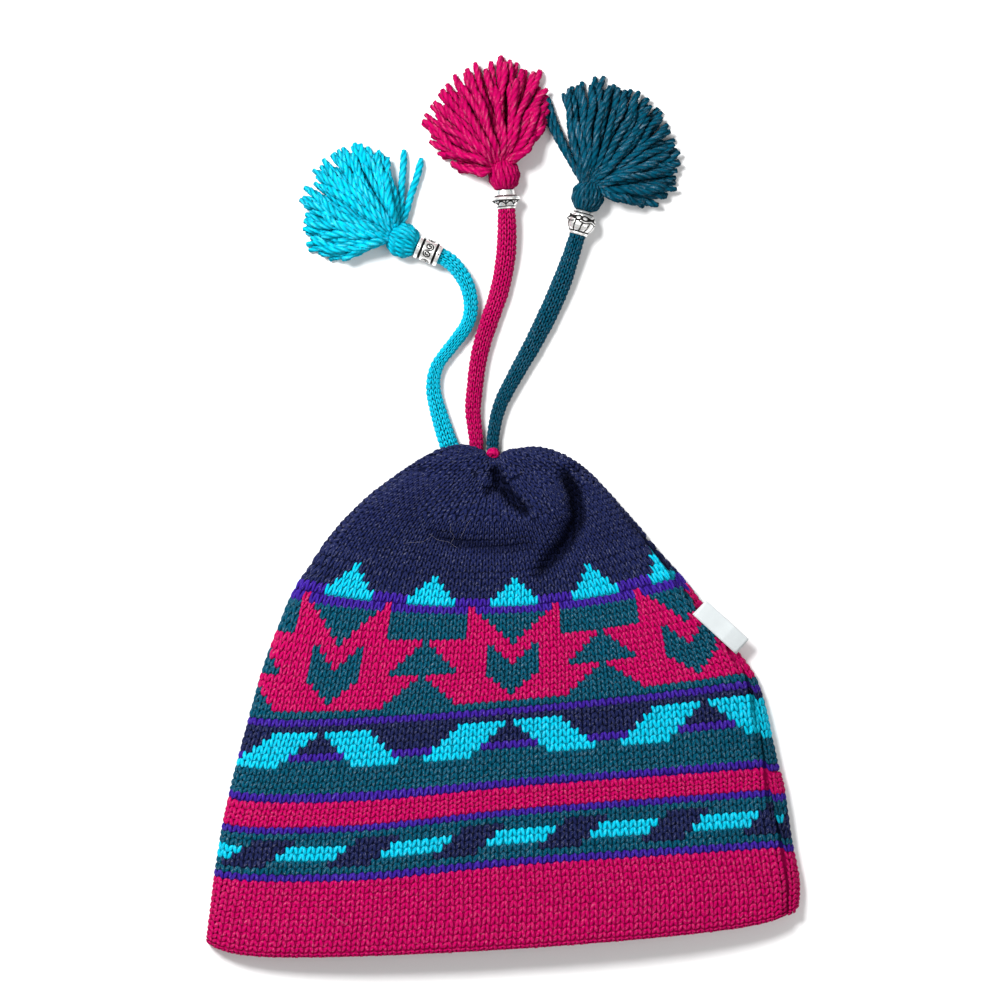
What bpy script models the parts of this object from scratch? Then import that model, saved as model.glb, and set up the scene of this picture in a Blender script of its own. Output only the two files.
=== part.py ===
"""A knitted ski beanie lying flat, with three knitted cords, metal beads and yarn tassels.

Metres, +Z up. The hat lies on z = 0 with its brim towards -Y and its gathered crown towards +Y, and the
origin is under the middle of its outline. The hat is one hollow shell of knit: each row of stitches is a
flattened loop, and the loops run from the open brim to the gather.
"""

import math
from collections import namedtuple

import bmesh
import bpy
from mathutils import Matrix, Vector
from mathutils.bvhtree import BVHTree

# Hat sizes
HAT_WIDTH = 0.245
HAT_LENGTH = 0.2105
HAT_RISE = 0.022
WALL = 0.003
FOLD_RADIUS = 0.0036
FOLD_TURN_REACH = 0.010
RIM_ROUNDING = 0.0008

# Cord, bead and tassel sizes
CORD_DIAMETER = 0.0062
BARREL_DIAMETER, BARREL_LENGTH = 0.0096, 0.0102
SAUCER_DIAMETER, SAUCER_LENGTH = 0.0124, 0.0076
ROUND_DIAMETER, ROUND_LENGTH = 0.0123, 0.0100
TASSEL_HEAD = 0.0120
TASSEL_REACH = 0.0400
LOCK_DIAMETER = 0.0104
LOCK_TIP_DIAMETER = 0.0060

# Label and knot sizes
LABEL_LENGTH = 0.0230
LABEL_WIDTH = 0.0080
LABEL_THICKNESS = 0.0014
KNOT_DIAMETER = 0.0052

# Clearance between neighbouring pieces
CLEARANCE = 0.0003

# Mesh fineness
TOP_STEPS, UNDER_STEPS, FOLD_STEPS = 34, 11, 3
BODY_RINGS, CROWN_RINGS = 2, 3
BEAD_SIDES = 16
LOCK_SIDES = 8

# Rows of the flattened tube from brim to gather. Places are shares of the hat's width and length from the
# origin: the left fold, the middle of the front and the right fold. The turns say how far a row bends up
# where it meets each fold, as shares of the length, and rise is the height as a share of HAT_RISE.
Section = namedtuple(
    "Section",
    "left_x left_y middle_x middle_y right_x right_y turn_left turn_right rise",
)
SECTIONS = [
    Section(-0.500, -0.500, 0.008, -0.480, 0.498, -0.428, 0.029, 0.023, 0.80),
    Section(-0.493, -0.428, 0.010, -0.398, 0.500, -0.359, 0.014, 0.004, 0.88),
    Section(-0.485, -0.353, 0.012, -0.314, 0.488, -0.281, 0.014, 0.000, 0.93),
    Section(-0.473, -0.263, 0.013, -0.218, 0.475, -0.181, 0.014, 0.000, 0.96),
    Section(-0.461, -0.197, 0.013, -0.159, 0.463, -0.122, 0.014, 0.000, 0.98),
    Section(-0.430, -0.052, 0.013, -0.021, 0.430, 0.032, 0.010, 0.000, 1.00),
    Section(-0.401, 0.066, 0.012, 0.077, 0.371, 0.132, 0.008, 0.000, 1.00),
    Section(-0.357, 0.201, 0.005, 0.175, 0.309, 0.232, 0.004, 0.000, 1.00),
    Section(-0.327, 0.261, 0.003, 0.238, 0.270, 0.283, 0.000, 0.000, 1.00),
    Section(-0.287, 0.328, 0.000, 0.291, 0.227, 0.343, 0.000, 0.000, 1.00),
    Section(-0.233, 0.394, -0.003, 0.340, 0.181, 0.404, 0.000, 0.000, 1.00),
    Section(-0.173, 0.447, -0.005, 0.381, 0.139, 0.453, 0.000, 0.000, 0.98),
    Section(-0.117, 0.486, -0.007, 0.410, 0.096, 0.484, 0.000, 0.000, 0.92),
    Section(-0.072, 0.500, -0.008, 0.432, 0.055, 0.496, 0.000, 0.000, 0.84),
    Section(-0.039, 0.492, -0.010, 0.442, 0.018, 0.488, 0.000, 0.000, 0.74),
    Section(-0.025, 0.471, -0.010, 0.451, 0.003, 0.469, 0.000, 0.000, 0.62),
]
FIRST_CROWN_SECTION = 7
LAST_HOLLOW_SECTION = 13

# Folds and swells of the front, as lines in shares of the hat's width and length. Lift is the height at the
# line as a share of HAT_RISE, and spread is its half width as a share of HAT_LENGTH.
Fold = namedtuple("Fold", "lift spread line")
FOLDS = [
    Fold(0.26, 0.070, [(0.029, 0.383), (0.070, 0.383)]),
    Fold(0.12, 0.045, [(-0.148, 0.412), (-0.072, 0.451)]),
    Fold(-0.36, 0.020, [(0.096, 0.455), (0.121, 0.404), (0.126, 0.357), (0.106, 0.308), (0.062, 0.255)]),
    Fold(-0.30, 0.014, [(-0.018, 0.459), (-0.003, 0.422), (0.015, 0.394), (0.047, 0.361)]),
    Fold(-0.12, 0.012, [(-0.005, 0.418), (-0.035, 0.404)]),
    Fold(-0.10, 0.020, [(-0.131, 0.334), (-0.081, 0.310), (-0.005, 0.300), (0.062, 0.308)]),
]

# Where the underside of the crown lifts off the surface to let the cords out, as shares of the length
LIP_FOOT, LIP_EDGE = 0.445, 0.471

# Middle of the gather, and of the label with its direction, in shares of the width and length
GATHER = (-0.010, 0.4746)
LABEL_PLACE = (0.366, 0.143)
LABEL_TURN = math.radians(-42.4)
LABEL_DROOP = 0.10

# Routes of the cords from the gather, in metres from it: x, y and how far the cord has risen from lying on
# the surface to the height of its bead, from 0 to 1
TURQUOISE_ROUTE = [
    (-0.0185, 0.0016, 0.0), (-0.0206, 0.0074, 0.0), (-0.0242, 0.0189, 0.0), (-0.0263, 0.0288, 0.0),
    (-0.0247, 0.0378, 0.0), (-0.0185, 0.0464, 0.0), (-0.0127, 0.0543, 0.0), (-0.0107, 0.0625, 0.2),
    (-0.0127, 0.0719, 0.6), (-0.0177, 0.0793, 0.9), (-0.0230, 0.0830, 1.0), (-0.0329, 0.0871, 1.0),
]
PINK_ROUTE = [
    (-0.0090, 0.0016, 0.0), (-0.0086, 0.0074, 0.0), (-0.0099, 0.0189, 0.0), (-0.0090, 0.0304, 0.0),
    (-0.0070, 0.0436, 0.0), (-0.0033, 0.0559, 0.0), (0.0008, 0.0682, 0.0), (0.0033, 0.0806, 0.2),
    (0.0041, 0.0921, 0.7), (0.0039, 0.1010, 1.0), (0.0033, 0.1101, 1.0),
]
TEAL_ROUTE = [
    (-0.0016, 0.0012, 0.0), (-0.0016, 0.0090, 0.0), (0.0012, 0.0214, 0.0), (0.0074, 0.0337, 0.0),
    (0.0148, 0.0469, 0.0), (0.0214, 0.0600, 0.0), (0.0267, 0.0723, 0.2), (0.0304, 0.0830, 0.6),
    (0.0331, 0.0915, 1.0), (0.0358, 0.1015, 1.0),
]

# Bead outlines: share of the length from the end at the cord, share of the radius
BARREL_OUTLINE = [
    (0.00, 0.94), (0.03, 1.00), (0.16, 1.00), (0.18, 0.93), (0.23, 0.93), (0.25, 1.00),
    (0.75, 1.00), (0.77, 0.93), (0.82, 0.93), (0.84, 1.00), (0.97, 1.00), (1.00, 0.94),
]
SAUCER_OUTLINE = [
    (0.00, 0.62), (0.08, 0.66), (0.14, 0.64), (0.40, 0.88), (0.46, 0.96), (0.54, 1.00),
    (0.62, 0.96), (0.68, 0.80), (0.74, 0.66), (0.94, 0.62), (1.00, 0.60),
]
ROUND_OUTLINE = [
    (0.00, 0.64), (0.06, 0.68), (0.12, 0.66), (0.24, 0.86), (0.38, 0.97), (0.52, 1.00),
    (0.66, 0.96), (0.80, 0.85), (0.92, 0.70), (1.00, 0.60),
]

# Locks of each tassel: degrees from the tassel's own direction, positive to the left, and the reach as a
# share of TASSEL_REACH
TURQUOISE_LIE = 135
TURQUOISE_LOCKS = [
    (72, 0.60), (56, 0.84), (40, 0.88), (24, 0.94), (8, 0.97), (-8, 0.95), (-22, 0.93), (-36, 0.88),
    (-47, 0.70),
]
PINK_LIE = 92
PINK_LOCKS = [
    (100, 0.42), (62, 0.84), (46, 0.86), (31, 0.92), (17, 0.98), (3, 1.02), (-11, 1.00), (-24, 0.93),
    (-36, 0.74), (-56, 0.50),
]
TEAL_LIE = 86
TEAL_LOCKS = [
    (20, 0.90), (10, 1.00), (0, 1.03), (-12, 1.02), (-25, 1.00), (-38, 0.95), (-51, 0.93), (-65, 0.92),
    (-79, 0.88), (-93, 0.85), (-110, 0.62),
]

# Colours, roughness and metallic value of each material
KNIT_NAVY = ((0.020, 0.020, 0.085), 0.90, 0.0)
PINK_YARN = ((0.680, 0.004, 0.120), 0.90, 0.0)
TURQUOISE_YARN = ((0.010, 0.680, 0.800), 0.90, 0.0)
TEAL_YARN = ((0.006, 0.110, 0.160), 0.90, 0.0)
WHITE_SATIN = ((0.860, 0.860, 0.850), 0.50, 0.0)
ANTIQUE_SILVER = ((0.780, 0.770, 0.740), 0.30, 1.0)


def clear_scene():
    for thing in list(bpy.data.objects):
        bpy.data.objects.remove(thing, do_unlink=True)


def material(name, look):
    colour, roughness, metallic = look
    made = bpy.data.materials.new(name)
    made.use_nodes = True
    shader = made.node_tree.nodes["Principled BSDF"]
    shader.inputs["Base Color"].default_value = (*colour, 1.0)
    shader.inputs["Roughness"].default_value = roughness
    shader.inputs["Metallic"].default_value = metallic
    return made


def add_object(name, mesh, look):
    """Puts a mesh in the scene as the sub-part of that name."""
    mesh.materials.append(look)
    thing = bpy.data.objects.new(name, mesh)
    bpy.context.scene.collection.objects.link(thing)
    return thing


def mesh_from(name, points, faces):
    """A mesh of these points and faces, with its faces turned outwards."""
    mesh = bpy.data.meshes.new(name)
    mesh.from_pydata(points, [], faces)
    shape = bmesh.new()
    shape.from_mesh(mesh)
    bmesh.ops.recalc_face_normals(shape, faces=shape.faces)
    shape.to_mesh(mesh)
    shape.free()
    mesh.shade_smooth()
    return mesh


def smooth_step(share):
    share = min(max(share, 0.0), 1.0)
    return share * share * (3.0 - 2.0 * share)


def between(before, start, end, after, share):
    """A Catmull-Rom curve through start and end."""
    slope_in = (end - before) / 2.0
    slope_out = (after - start) / 2.0
    square, cube = share * share, share**3
    return (
        (2 * cube - 3 * square + 1) * start
        + (cube - 2 * square + share) * slope_in
        + (3 * square - 2 * cube) * end
        + (cube - square) * slope_out
    )


def row_at(place):
    """The row at a place among SECTIONS, such as 2.5, with its lengths in metres."""
    last = len(SECTIONS) - 1
    index = min(int(place), last - 1)
    rows = [SECTIONS[min(max(index + step, 0), last)] for step in (-1, 0, 1, 2)]
    shares = Section(*(between(*values, place - index) for values in zip(*rows)))
    return Section(
        shares.left_x * HAT_WIDTH,
        shares.left_y * HAT_LENGTH,
        shares.middle_x * HAT_WIDTH,
        shares.middle_y * HAT_LENGTH,
        shares.right_x * HAT_WIDTH,
        shares.right_y * HAT_LENGTH,
        shares.turn_left * HAT_LENGTH,
        shares.turn_right * HAT_LENGTH,
        shares.rise * HAT_RISE,
    )


def row_width(row):
    """The length of a row from fold to fold, taken as two straight halves."""
    left = math.hypot(row.middle_x - row.left_x, row.middle_y - row.left_y)
    return left + math.hypot(row.right_x - row.middle_x, row.right_y - row.middle_y)


def row_point(row, across):
    """The place seen from above at a share of the way from the left fold to the right fold."""
    left = (1 - across) * (1 - 2 * across)
    middle = 4 * across * (1 - across)
    right = across * (2 * across - 1)
    width = row_width(row)
    turn = row.turn_left * math.exp(-across * width / FOLD_TURN_REACH)
    turn += row.turn_right * math.exp(-(1 - across) * width / FOLD_TURN_REACH)
    x = left * row.left_x + middle * row.middle_x + right * row.right_x
    y = left * row.left_y + middle * row.middle_y + right * row.right_y + turn
    return x, y


def nearest_on_line(x, y, line):
    """The distance to a line of straight stretches given in shares, and how far along it, from 0 to 1."""
    here = Vector((x, y))
    best, best_along = math.inf, 0.0
    for number, ((x_start, y_start), (x_end, y_end)) in enumerate(zip(line, line[1:])):
        start = Vector((x_start * HAT_WIDTH, y_start * HAT_LENGTH))
        way = Vector((x_end * HAT_WIDTH, y_end * HAT_LENGTH)) - start
        along = min(max((here - start).dot(way) / way.length_squared, 0.0), 1.0)
        far = (here - start - along * way).length
        if far < best:
            best, best_along = far, (number + along) / (len(line) - 1)
    return best, best_along


def under_height(y):
    """The underside of the hat: flat on the surface, and lifted at the crown to let the cords out."""
    share = (y / HAT_LENGTH - LIP_FOOT) / (LIP_EDGE - LIP_FOOT)
    return (CORD_DIAMETER + CLEARANCE) * smooth_step(share)


def front_height(row, across, fold):
    """The upper side of the hat: crowned between the folds, with the crown's swells and creases.

    A crease runs out towards the ends of its line."""
    x, y = row_point(row, across)
    least = under_height(y) + 2 * fold
    crowned = max(1 - abs(2 * across - 1) ** 3, 0.0) ** 0.7
    height = least + max(row.rise - least, 0.0) * crowned
    for crease in FOLDS:
        distance, along = nearest_on_line(x, y, crease.line)
        far = distance / (crease.spread * HAT_LENGTH)
        lasting = 1.0 if crease.lift > 0 else 1.0 - abs(2 * along - 1) ** 3
        height += crease.lift * HAT_RISE * crowned * lasting * math.exp(-far * far)
    return max(height, least)


def loop_points(place, inset):
    """One row of the tube as a closed loop, inset from the outside by a wall's thickness."""
    row = row_at(place)
    width = row_width(row)
    fold = min(FOLD_RADIUS, 0.34 * width)
    end = max(fold - inset, 0.12 * fold)
    edge = fold / width
    points = []
    for step in range(TOP_STEPS + 1):
        across = edge + (1 - 2 * edge) * step / TOP_STEPS
        points.append((*row_point(row, across), front_height(row, across, fold) - inset))
    for side, start in ((1, TOP_STEPS), (0, 0)):
        fold_y = row_point(row, side)[1]
        middle = under_height(fold_y) + fold
        for step in range(1, FOLD_STEPS):
            turn = math.pi * step / FOLD_STEPS
            out = end * math.sin(turn) / width
            across = 1 - edge + out if side else edge - out
            height = middle + end * (math.cos(turn) if side else -math.cos(turn))
            points.append((*row_point(row, across), height))
        if side:
            for step in range(UNDER_STEPS + 1):
                across = 1 - edge - (1 - 2 * edge) * step / UNDER_STEPS
                x, y = row_point(row, across)
                points.append((x, y, under_height(y) + inset))
    return points


def ring_places(last_section, body_rings, crown_rings):
    """Places among SECTIONS of the rings from the brim to a section, closer together on the crown."""
    places = [step / body_rings for step in range(FIRST_CROWN_SECTION * body_rings)]
    steps = (last_section - FIRST_CROWN_SECTION) * crown_rings
    return places + [FIRST_CROWN_SECTION + step / crown_rings for step in range(steps + 1)]


def hat_body(look):
    """The hollow shell: outer rings, a rounded rim and inner rings, closed at the gather."""
    outer = [loop_points(place, 0.0) for place in ring_places(len(SECTIONS) - 1, BODY_RINGS, CROWN_RINGS)]
    inner = [loop_points(place, WALL) for place in ring_places(LAST_HOLLOW_SECTION, 1, CROWN_RINGS)]
    rim = loop_points(0.0, WALL / 2)
    for number, (x, y, z) in enumerate(rim):
        rim[number] = (x, y - RIM_ROUNDING, z)
    rings = list(reversed(outer)) + [rim] + inner
    count = len(rim)
    points = [point for ring in rings for point in ring]
    faces = []
    for ring in range(len(rings) - 1):
        for step in range(count):
            after = (step + 1) % count
            low, high = ring * count, (ring + 1) * count
            faces.append((low + step, low + after, high + after, high + step))
    for ring in (0, len(rings) - 1):
        middle = sum((Vector(point) for point in rings[ring]), Vector()) / count
        points.append(tuple(middle))
        for step in range(count):
            faces.append((ring * count + step, ring * count + (step + 1) % count, len(points) - 1))
    mesh = mesh_from("hat_body", points, faces)
    return add_object("hat_body", mesh, look)


def gather_place():
    return Vector((GATHER[0] * HAT_WIDTH, GATHER[1] * HAT_LENGTH, 0.0))


def bead_height():
    """The height of the beads' and the tassel heads' middles, so that the widest of them lies on z = 0."""
    return max(BARREL_DIAMETER, SAUCER_DIAMETER, ROUND_DIAMETER, TASSEL_HEAD) / 2 + CLEARANCE


def cord_points(route):
    """The route's own points as the cord's middle line."""
    low, high = CORD_DIAMETER / 2, bead_height()
    return [gather_place() + Vector((x, y, low + (high - low) * risen)) for x, y, risen in route]


def spaced_along(points, spacing):
    """Points about that far apart on a smooth curve through the given ones."""
    fine = []
    for index in range(len(points) - 1):
        four = [points[min(max(index + step, 0), len(points) - 1)] for step in (-1, 0, 1, 2)]
        fine += [between(*four, step / 12) for step in range(12)]
    fine.append(points[-1])
    run = [0.0]
    for start, end in zip(fine, fine[1:]):
        run.append(run[-1] + (end - start).length)
    count = max(2, round(run[-1] / spacing))
    spread, index = [], 0
    for step in range(count + 1):
        wanted = run[-1] * step / count
        while index < len(run) - 2 and run[index + 1] < wanted:
            index += 1
        share = (wanted - run[index]) / (run[index + 1] - run[index])
        spread.append(fine[index].lerp(fine[index + 1], min(share, 1.0)))
    return spread


def cord(name, route, look):
    """A knitted cord as a plain tube, from the gather through its bead to its tassel."""
    curve = bpy.data.curves.new(name, "CURVE")
    curve.dimensions = "3D"
    curve.bevel_depth = CORD_DIAMETER / 2
    curve.bevel_resolution = 3
    curve.use_fill_caps = True
    places = spaced_along(cord_points(route), 1.5 * CORD_DIAMETER)
    spline = curve.splines.new("POLY")
    spline.points.add(len(places) - 1)
    for point, place in zip(spline.points, places):
        point.co = (*place, 1.0)
    curve.materials.append(look)
    thing = bpy.data.objects.new(name, curve)
    bpy.context.scene.collection.objects.link(thing)


def cord_end(route):
    """The end of a cord and the direction that it points there."""
    points = cord_points(route)
    return points[-1], (points[-1] - points[-2]).normalized()


def bead(name, route, outline, diameter, length, look):
    """A turned metal bead, drilled for its cord, pushed up to the tassel at the cord's end."""
    bore = CORD_DIAMETER / 2 + CLEARANCE
    profile = [(length * along, max(diameter / 2 * share, bore + CLEARANCE)) for along, share in outline]
    profile += [(length, bore), (0.0, bore)]
    points, faces = [], []
    for side in range(BEAD_SIDES):
        turn = 2 * math.pi * side / BEAD_SIDES
        points += [(along, radius * math.cos(turn), radius * math.sin(turn)) for along, radius in profile]
    count = len(profile)
    for side in range(BEAD_SIDES):
        here, there = side * count, (side + 1) % BEAD_SIDES * count
        for step in range(count):
            after = (step + 1) % count
            faces.append((here + step, here + after, there + after, there + step))
    mesh = mesh_from(name, points, faces)
    mesh.set_sharp_from_angle(angle=math.radians(40))
    thing = add_object(name, mesh, look)
    end, way = cord_end(route)
    thing.location = end - way * length
    thing.rotation_euler = (0.0, 0.0, math.atan2(way.y, way.x))
    return thing


def lock(name, path, radii, look):
    """One lock of a tassel: a flattened tube along a path, hidden, for the union with the head."""
    points, faces = [], []
    for index, place in enumerate(path):
        before, after = path[max(index - 1, 0)], path[min(index + 1, len(path) - 1)]
        way = (after - before).normalized()
        side = Vector((-way.y, way.x, 0.0)).normalized()
        up = way.cross(side)
        for step in range(LOCK_SIDES):
            turn = 2 * math.pi * (step + 0.5) / LOCK_SIDES
            out = side * math.cos(turn) + up * math.sin(turn) * 0.8
            points.append(place + out * radii[index])
    for ring in range(len(path) - 1):
        for step in range(LOCK_SIDES):
            after = (step + 1) % LOCK_SIDES
            low, high = ring * LOCK_SIDES, (ring + 1) * LOCK_SIDES
            faces.append((low + step, low + after, high + after, high + step))
    faces.append(tuple(range(LOCK_SIDES)))
    faces.append(tuple(range(len(points) - LOCK_SIDES, len(points))))
    thing = add_object(name, mesh_from(name, points, faces), look)
    thing.hide_render = True
    thing.display_type = "WIRE"
    return thing


def tassel(name, route, lie, locks, look):
    """A yarn tassel lying on the surface: a round head, and locks that fan out from its neck."""
    end, way = cord_end(route)
    radius = TASSEL_HEAD / 2
    middle = end + way * (radius + CLEARANCE)
    shape = bmesh.new()
    bmesh.ops.create_uvsphere(shape, u_segments=14, v_segments=9, radius=radius)
    mesh = bpy.data.meshes.new(name)
    shape.to_mesh(mesh)
    shape.free()
    mesh.shade_smooth()
    head = add_object(name, mesh, look)
    head.data.transform(Matrix.Translation(middle))
    gathered = bpy.data.collections.new(name + "_locks")
    bpy.context.scene.collection.children.link(gathered)
    axis = Vector((math.cos(math.radians(lie)), math.sin(math.radians(lie)), 0.0))
    neck = middle + axis * radius
    low = Vector((0.0, 0.0, LOCK_TIP_DIAMETER / 2 - neck.z + CLEARANCE))
    for number, (turn, reach) in enumerate(locks):
        angle = math.radians(lie + turn)
        out = Vector((math.cos(angle), math.sin(angle), 0.0)) * reach * TASSEL_REACH
        start = middle + axis * radius * 0.3
        path, radii = [], []
        for share, wide in ((0.0, 0.60), (0.15, 0.66), (0.45, 0.90), (0.75, 1.00), (0.92, 0.85), (1.0, 0.0)):
            bent = start.lerp(neck + out * share, smooth_step(share * 2.5))
            path.append(bent + low * share**2)
            tip = LOCK_TIP_DIAMETER / 2
            radii.append(max(LOCK_DIAMETER / 2 * wide, tip))
        piece = lock(f"{name}_lock_{number + 1}", path, radii, look)
        bpy.context.scene.collection.objects.unlink(piece)
        gathered.objects.link(piece)
    join = head.modifiers.new("locks", "BOOLEAN")
    join.operation = "UNION"
    join.operand_type = "COLLECTION"
    join.collection = gathered
    join.solver = "EXACT"
    join.use_self = True
    return head


def side_label(hat, look):
    """The folded tab sewn into the side seam: it lies on the fold and stands out past it."""
    bpy.context.view_layer.update()
    surface = BVHTree.FromObject(hat, bpy.context.evaluated_depsgraph_get())
    along = Vector((math.cos(LABEL_TURN), math.sin(LABEL_TURN)))
    out = Vector((-along.y, along.x))
    middle = Vector((LABEL_PLACE[0] * HAT_WIDTH, LABEL_PLACE[1] * HAT_LENGTH))
    above = Vector((0.0, 0.0, 2 * HAT_RISE))
    long_steps, wide_steps = 6, 4
    rows = []
    for step in range(long_steps + 1):
        places, least = [], 0.0
        for wide in range(wide_steps + 1):
            share = wide / wide_steps
            place = middle + along * LABEL_LENGTH * (step / long_steps - 0.5)
            place += out * LABEL_WIDTH * (share - 0.5)
            places.append(place)
            hit = surface.ray_cast(place.to_3d() + above, Vector((0.0, 0.0, -1.0)))[0]
            if hit is not None:
                least = max(least, hit.z + LABEL_DROOP * LABEL_WIDTH * share)
        rows.append((places, least + CLEARANCE))
    points = []
    for places, base in rows:
        drops = [LABEL_DROOP * LABEL_WIDTH * wide / wide_steps for wide in range(wide_steps + 1)]
        under = [(*place, base - drop) for place, drop in zip(places, drops)]
        upper = [(x, y, z + LABEL_THICKNESS) for x, y, z in reversed(under)]
        x, y, z = upper[0]
        nose = (x + out.x * LABEL_THICKNESS / 3, y + out.y * LABEL_THICKNESS / 3, z - LABEL_THICKNESS / 2)
        points += [*under, nose, *upper]
    count = len(points) // len(rows)
    faces = []
    for ring in range(long_steps):
        for step in range(count):
            after = (step + 1) % count
            low, high = ring * count, (ring + 1) * count
            faces.append((low + step, low + after, high + after, high + step))
    faces.append(tuple(range(count)))
    faces.append(tuple(range(len(points) - count, len(points))))
    return add_object("side_label", mesh_from("side_label", points, faces), look)


def gather_knot(look):
    """The small knot of the gathering cord, in the notch of the crown, on top of the teal cord."""
    shape = bmesh.new()
    bmesh.ops.create_uvsphere(shape, u_segments=12, v_segments=8, radius=KNOT_DIAMETER / 2)
    mesh = bpy.data.meshes.new("gather_knot")
    shape.to_mesh(mesh)
    shape.free()
    mesh.shade_smooth()
    thing = add_object("gather_knot", mesh, look)
    rest = CORD_DIAMETER + CLEARANCE + KNOT_DIAMETER / 2
    thing.location = cord_points(TEAL_ROUTE)[0] + Vector((0.0, 0.0, rest - CORD_DIAMETER / 2))
    return thing


def main():
    clear_scene()
    navy = material("knit_navy", KNIT_NAVY)
    pink = material("pink_yarn", PINK_YARN)
    turquoise = material("turquoise_yarn", TURQUOISE_YARN)
    teal = material("teal_yarn", TEAL_YARN)
    satin = material("white_satin", WHITE_SATIN)
    silver = material("antique_silver", ANTIQUE_SILVER)
    hat = hat_body(navy)
    side_label(hat, satin)
    gather_knot(pink)
    cord("cord_turquoise", TURQUOISE_ROUTE, turquoise)
    cord("cord_pink", PINK_ROUTE, pink)
    cord("cord_teal", TEAL_ROUTE, teal)
    bead("bead_barrel", TURQUOISE_ROUTE, BARREL_OUTLINE, BARREL_DIAMETER, BARREL_LENGTH, silver)
    bead("bead_saucer", PINK_ROUTE, SAUCER_OUTLINE, SAUCER_DIAMETER, SAUCER_LENGTH, silver)
    bead("bead_round", TEAL_ROUTE, ROUND_OUTLINE, ROUND_DIAMETER, ROUND_LENGTH, silver)
    tassel("tassel_turquoise", TURQUOISE_ROUTE, TURQUOISE_LIE, TURQUOISE_LOCKS, turquoise)
    tassel("tassel_pink", PINK_ROUTE, PINK_LIE, PINK_LOCKS, pink)
    tassel("tassel_teal", TEAL_ROUTE, TEAL_LIE, TEAL_LOCKS, teal)


if __name__ == "__main__":
    main()
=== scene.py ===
"""The finish of a knitted ski beanie that lies flat: its stitches, cords, beads, tassels and side tab.

Metres, +Z up, in the frame of the solids. The hat is a flattened tube. A point on it is given by a place
among the sections, from the brim to the gather, and by a turn round the tube: 0 at the left fold, 1 at the
right fold, and on over the underside to 2, which is the left fold again.
"""

import math
from collections import namedtuple

import bpy
import numpy as np
from bpy.props import FloatProperty, FloatVectorProperty, IntProperty, PointerProperty
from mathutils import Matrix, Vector
from mathutils.bvhtree import BVHTree


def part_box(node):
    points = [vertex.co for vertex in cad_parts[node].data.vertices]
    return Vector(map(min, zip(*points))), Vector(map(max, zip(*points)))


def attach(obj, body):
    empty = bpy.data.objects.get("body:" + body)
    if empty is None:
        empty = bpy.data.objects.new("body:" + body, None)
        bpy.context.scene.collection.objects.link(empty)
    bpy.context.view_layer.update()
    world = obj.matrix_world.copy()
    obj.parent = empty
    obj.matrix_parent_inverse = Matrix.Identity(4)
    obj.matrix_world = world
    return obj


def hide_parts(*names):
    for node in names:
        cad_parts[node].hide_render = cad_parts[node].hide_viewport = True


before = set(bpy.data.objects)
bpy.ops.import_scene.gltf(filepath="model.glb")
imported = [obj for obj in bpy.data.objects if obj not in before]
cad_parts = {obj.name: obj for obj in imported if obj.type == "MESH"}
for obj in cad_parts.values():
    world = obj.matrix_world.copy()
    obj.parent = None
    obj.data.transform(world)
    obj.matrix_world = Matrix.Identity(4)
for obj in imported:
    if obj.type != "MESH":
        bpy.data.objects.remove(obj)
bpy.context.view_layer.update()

bl_info = {
    "name": "Knitted Ski Beanie",
    "version": (1, 0, 0),
    "blender": (4, 5, 0),
    "location": "3D View > Sidebar > Beanie",
    "description": "Knits a patterned ski beanie with three tasselled cords round its solids",
    "category": "Add Mesh",
}

# Main sizes of the hat, as its solid has them
HAT_WIDTH = 0.245
HAT_LENGTH = 0.2105
HAT_RISE = 0.022
WALL = 0.003
FOLD_RADIUS = 0.0036
FOLD_SHARE = 0.34
FOLD_TURN_REACH = 0.010
CLEARANCE = 0.0003

# Sizes of the cords, beads and tassels, as their solids have them
CORD_DIAMETER = 0.0062
BARREL_DIAMETER, BARREL_LENGTH = 0.0096, 0.0102
SAUCER_DIAMETER, SAUCER_LENGTH = 0.0124, 0.0076
ROUND_DIAMETER, ROUND_LENGTH = 0.0123, 0.0100
TASSEL_HEAD = 0.0120
TASSEL_REACH = 0.0400

# The side tab
LABEL_LENGTH = 0.0230
LABEL_WIDTH = 0.0080
LABEL_THICKNESS = 0.0014
LABEL_PLACE = (0.366, 0.143)
LABEL_TURN = math.radians(-42.4)
LABEL_DROOP = 0.10

# What the camera sees, at the height of the knit
VIEW_WIDTH = 0.4111
VIEW_CENTRE = (-0.0012, 0.0824)
VIEW_HEIGHT = 0.012

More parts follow.
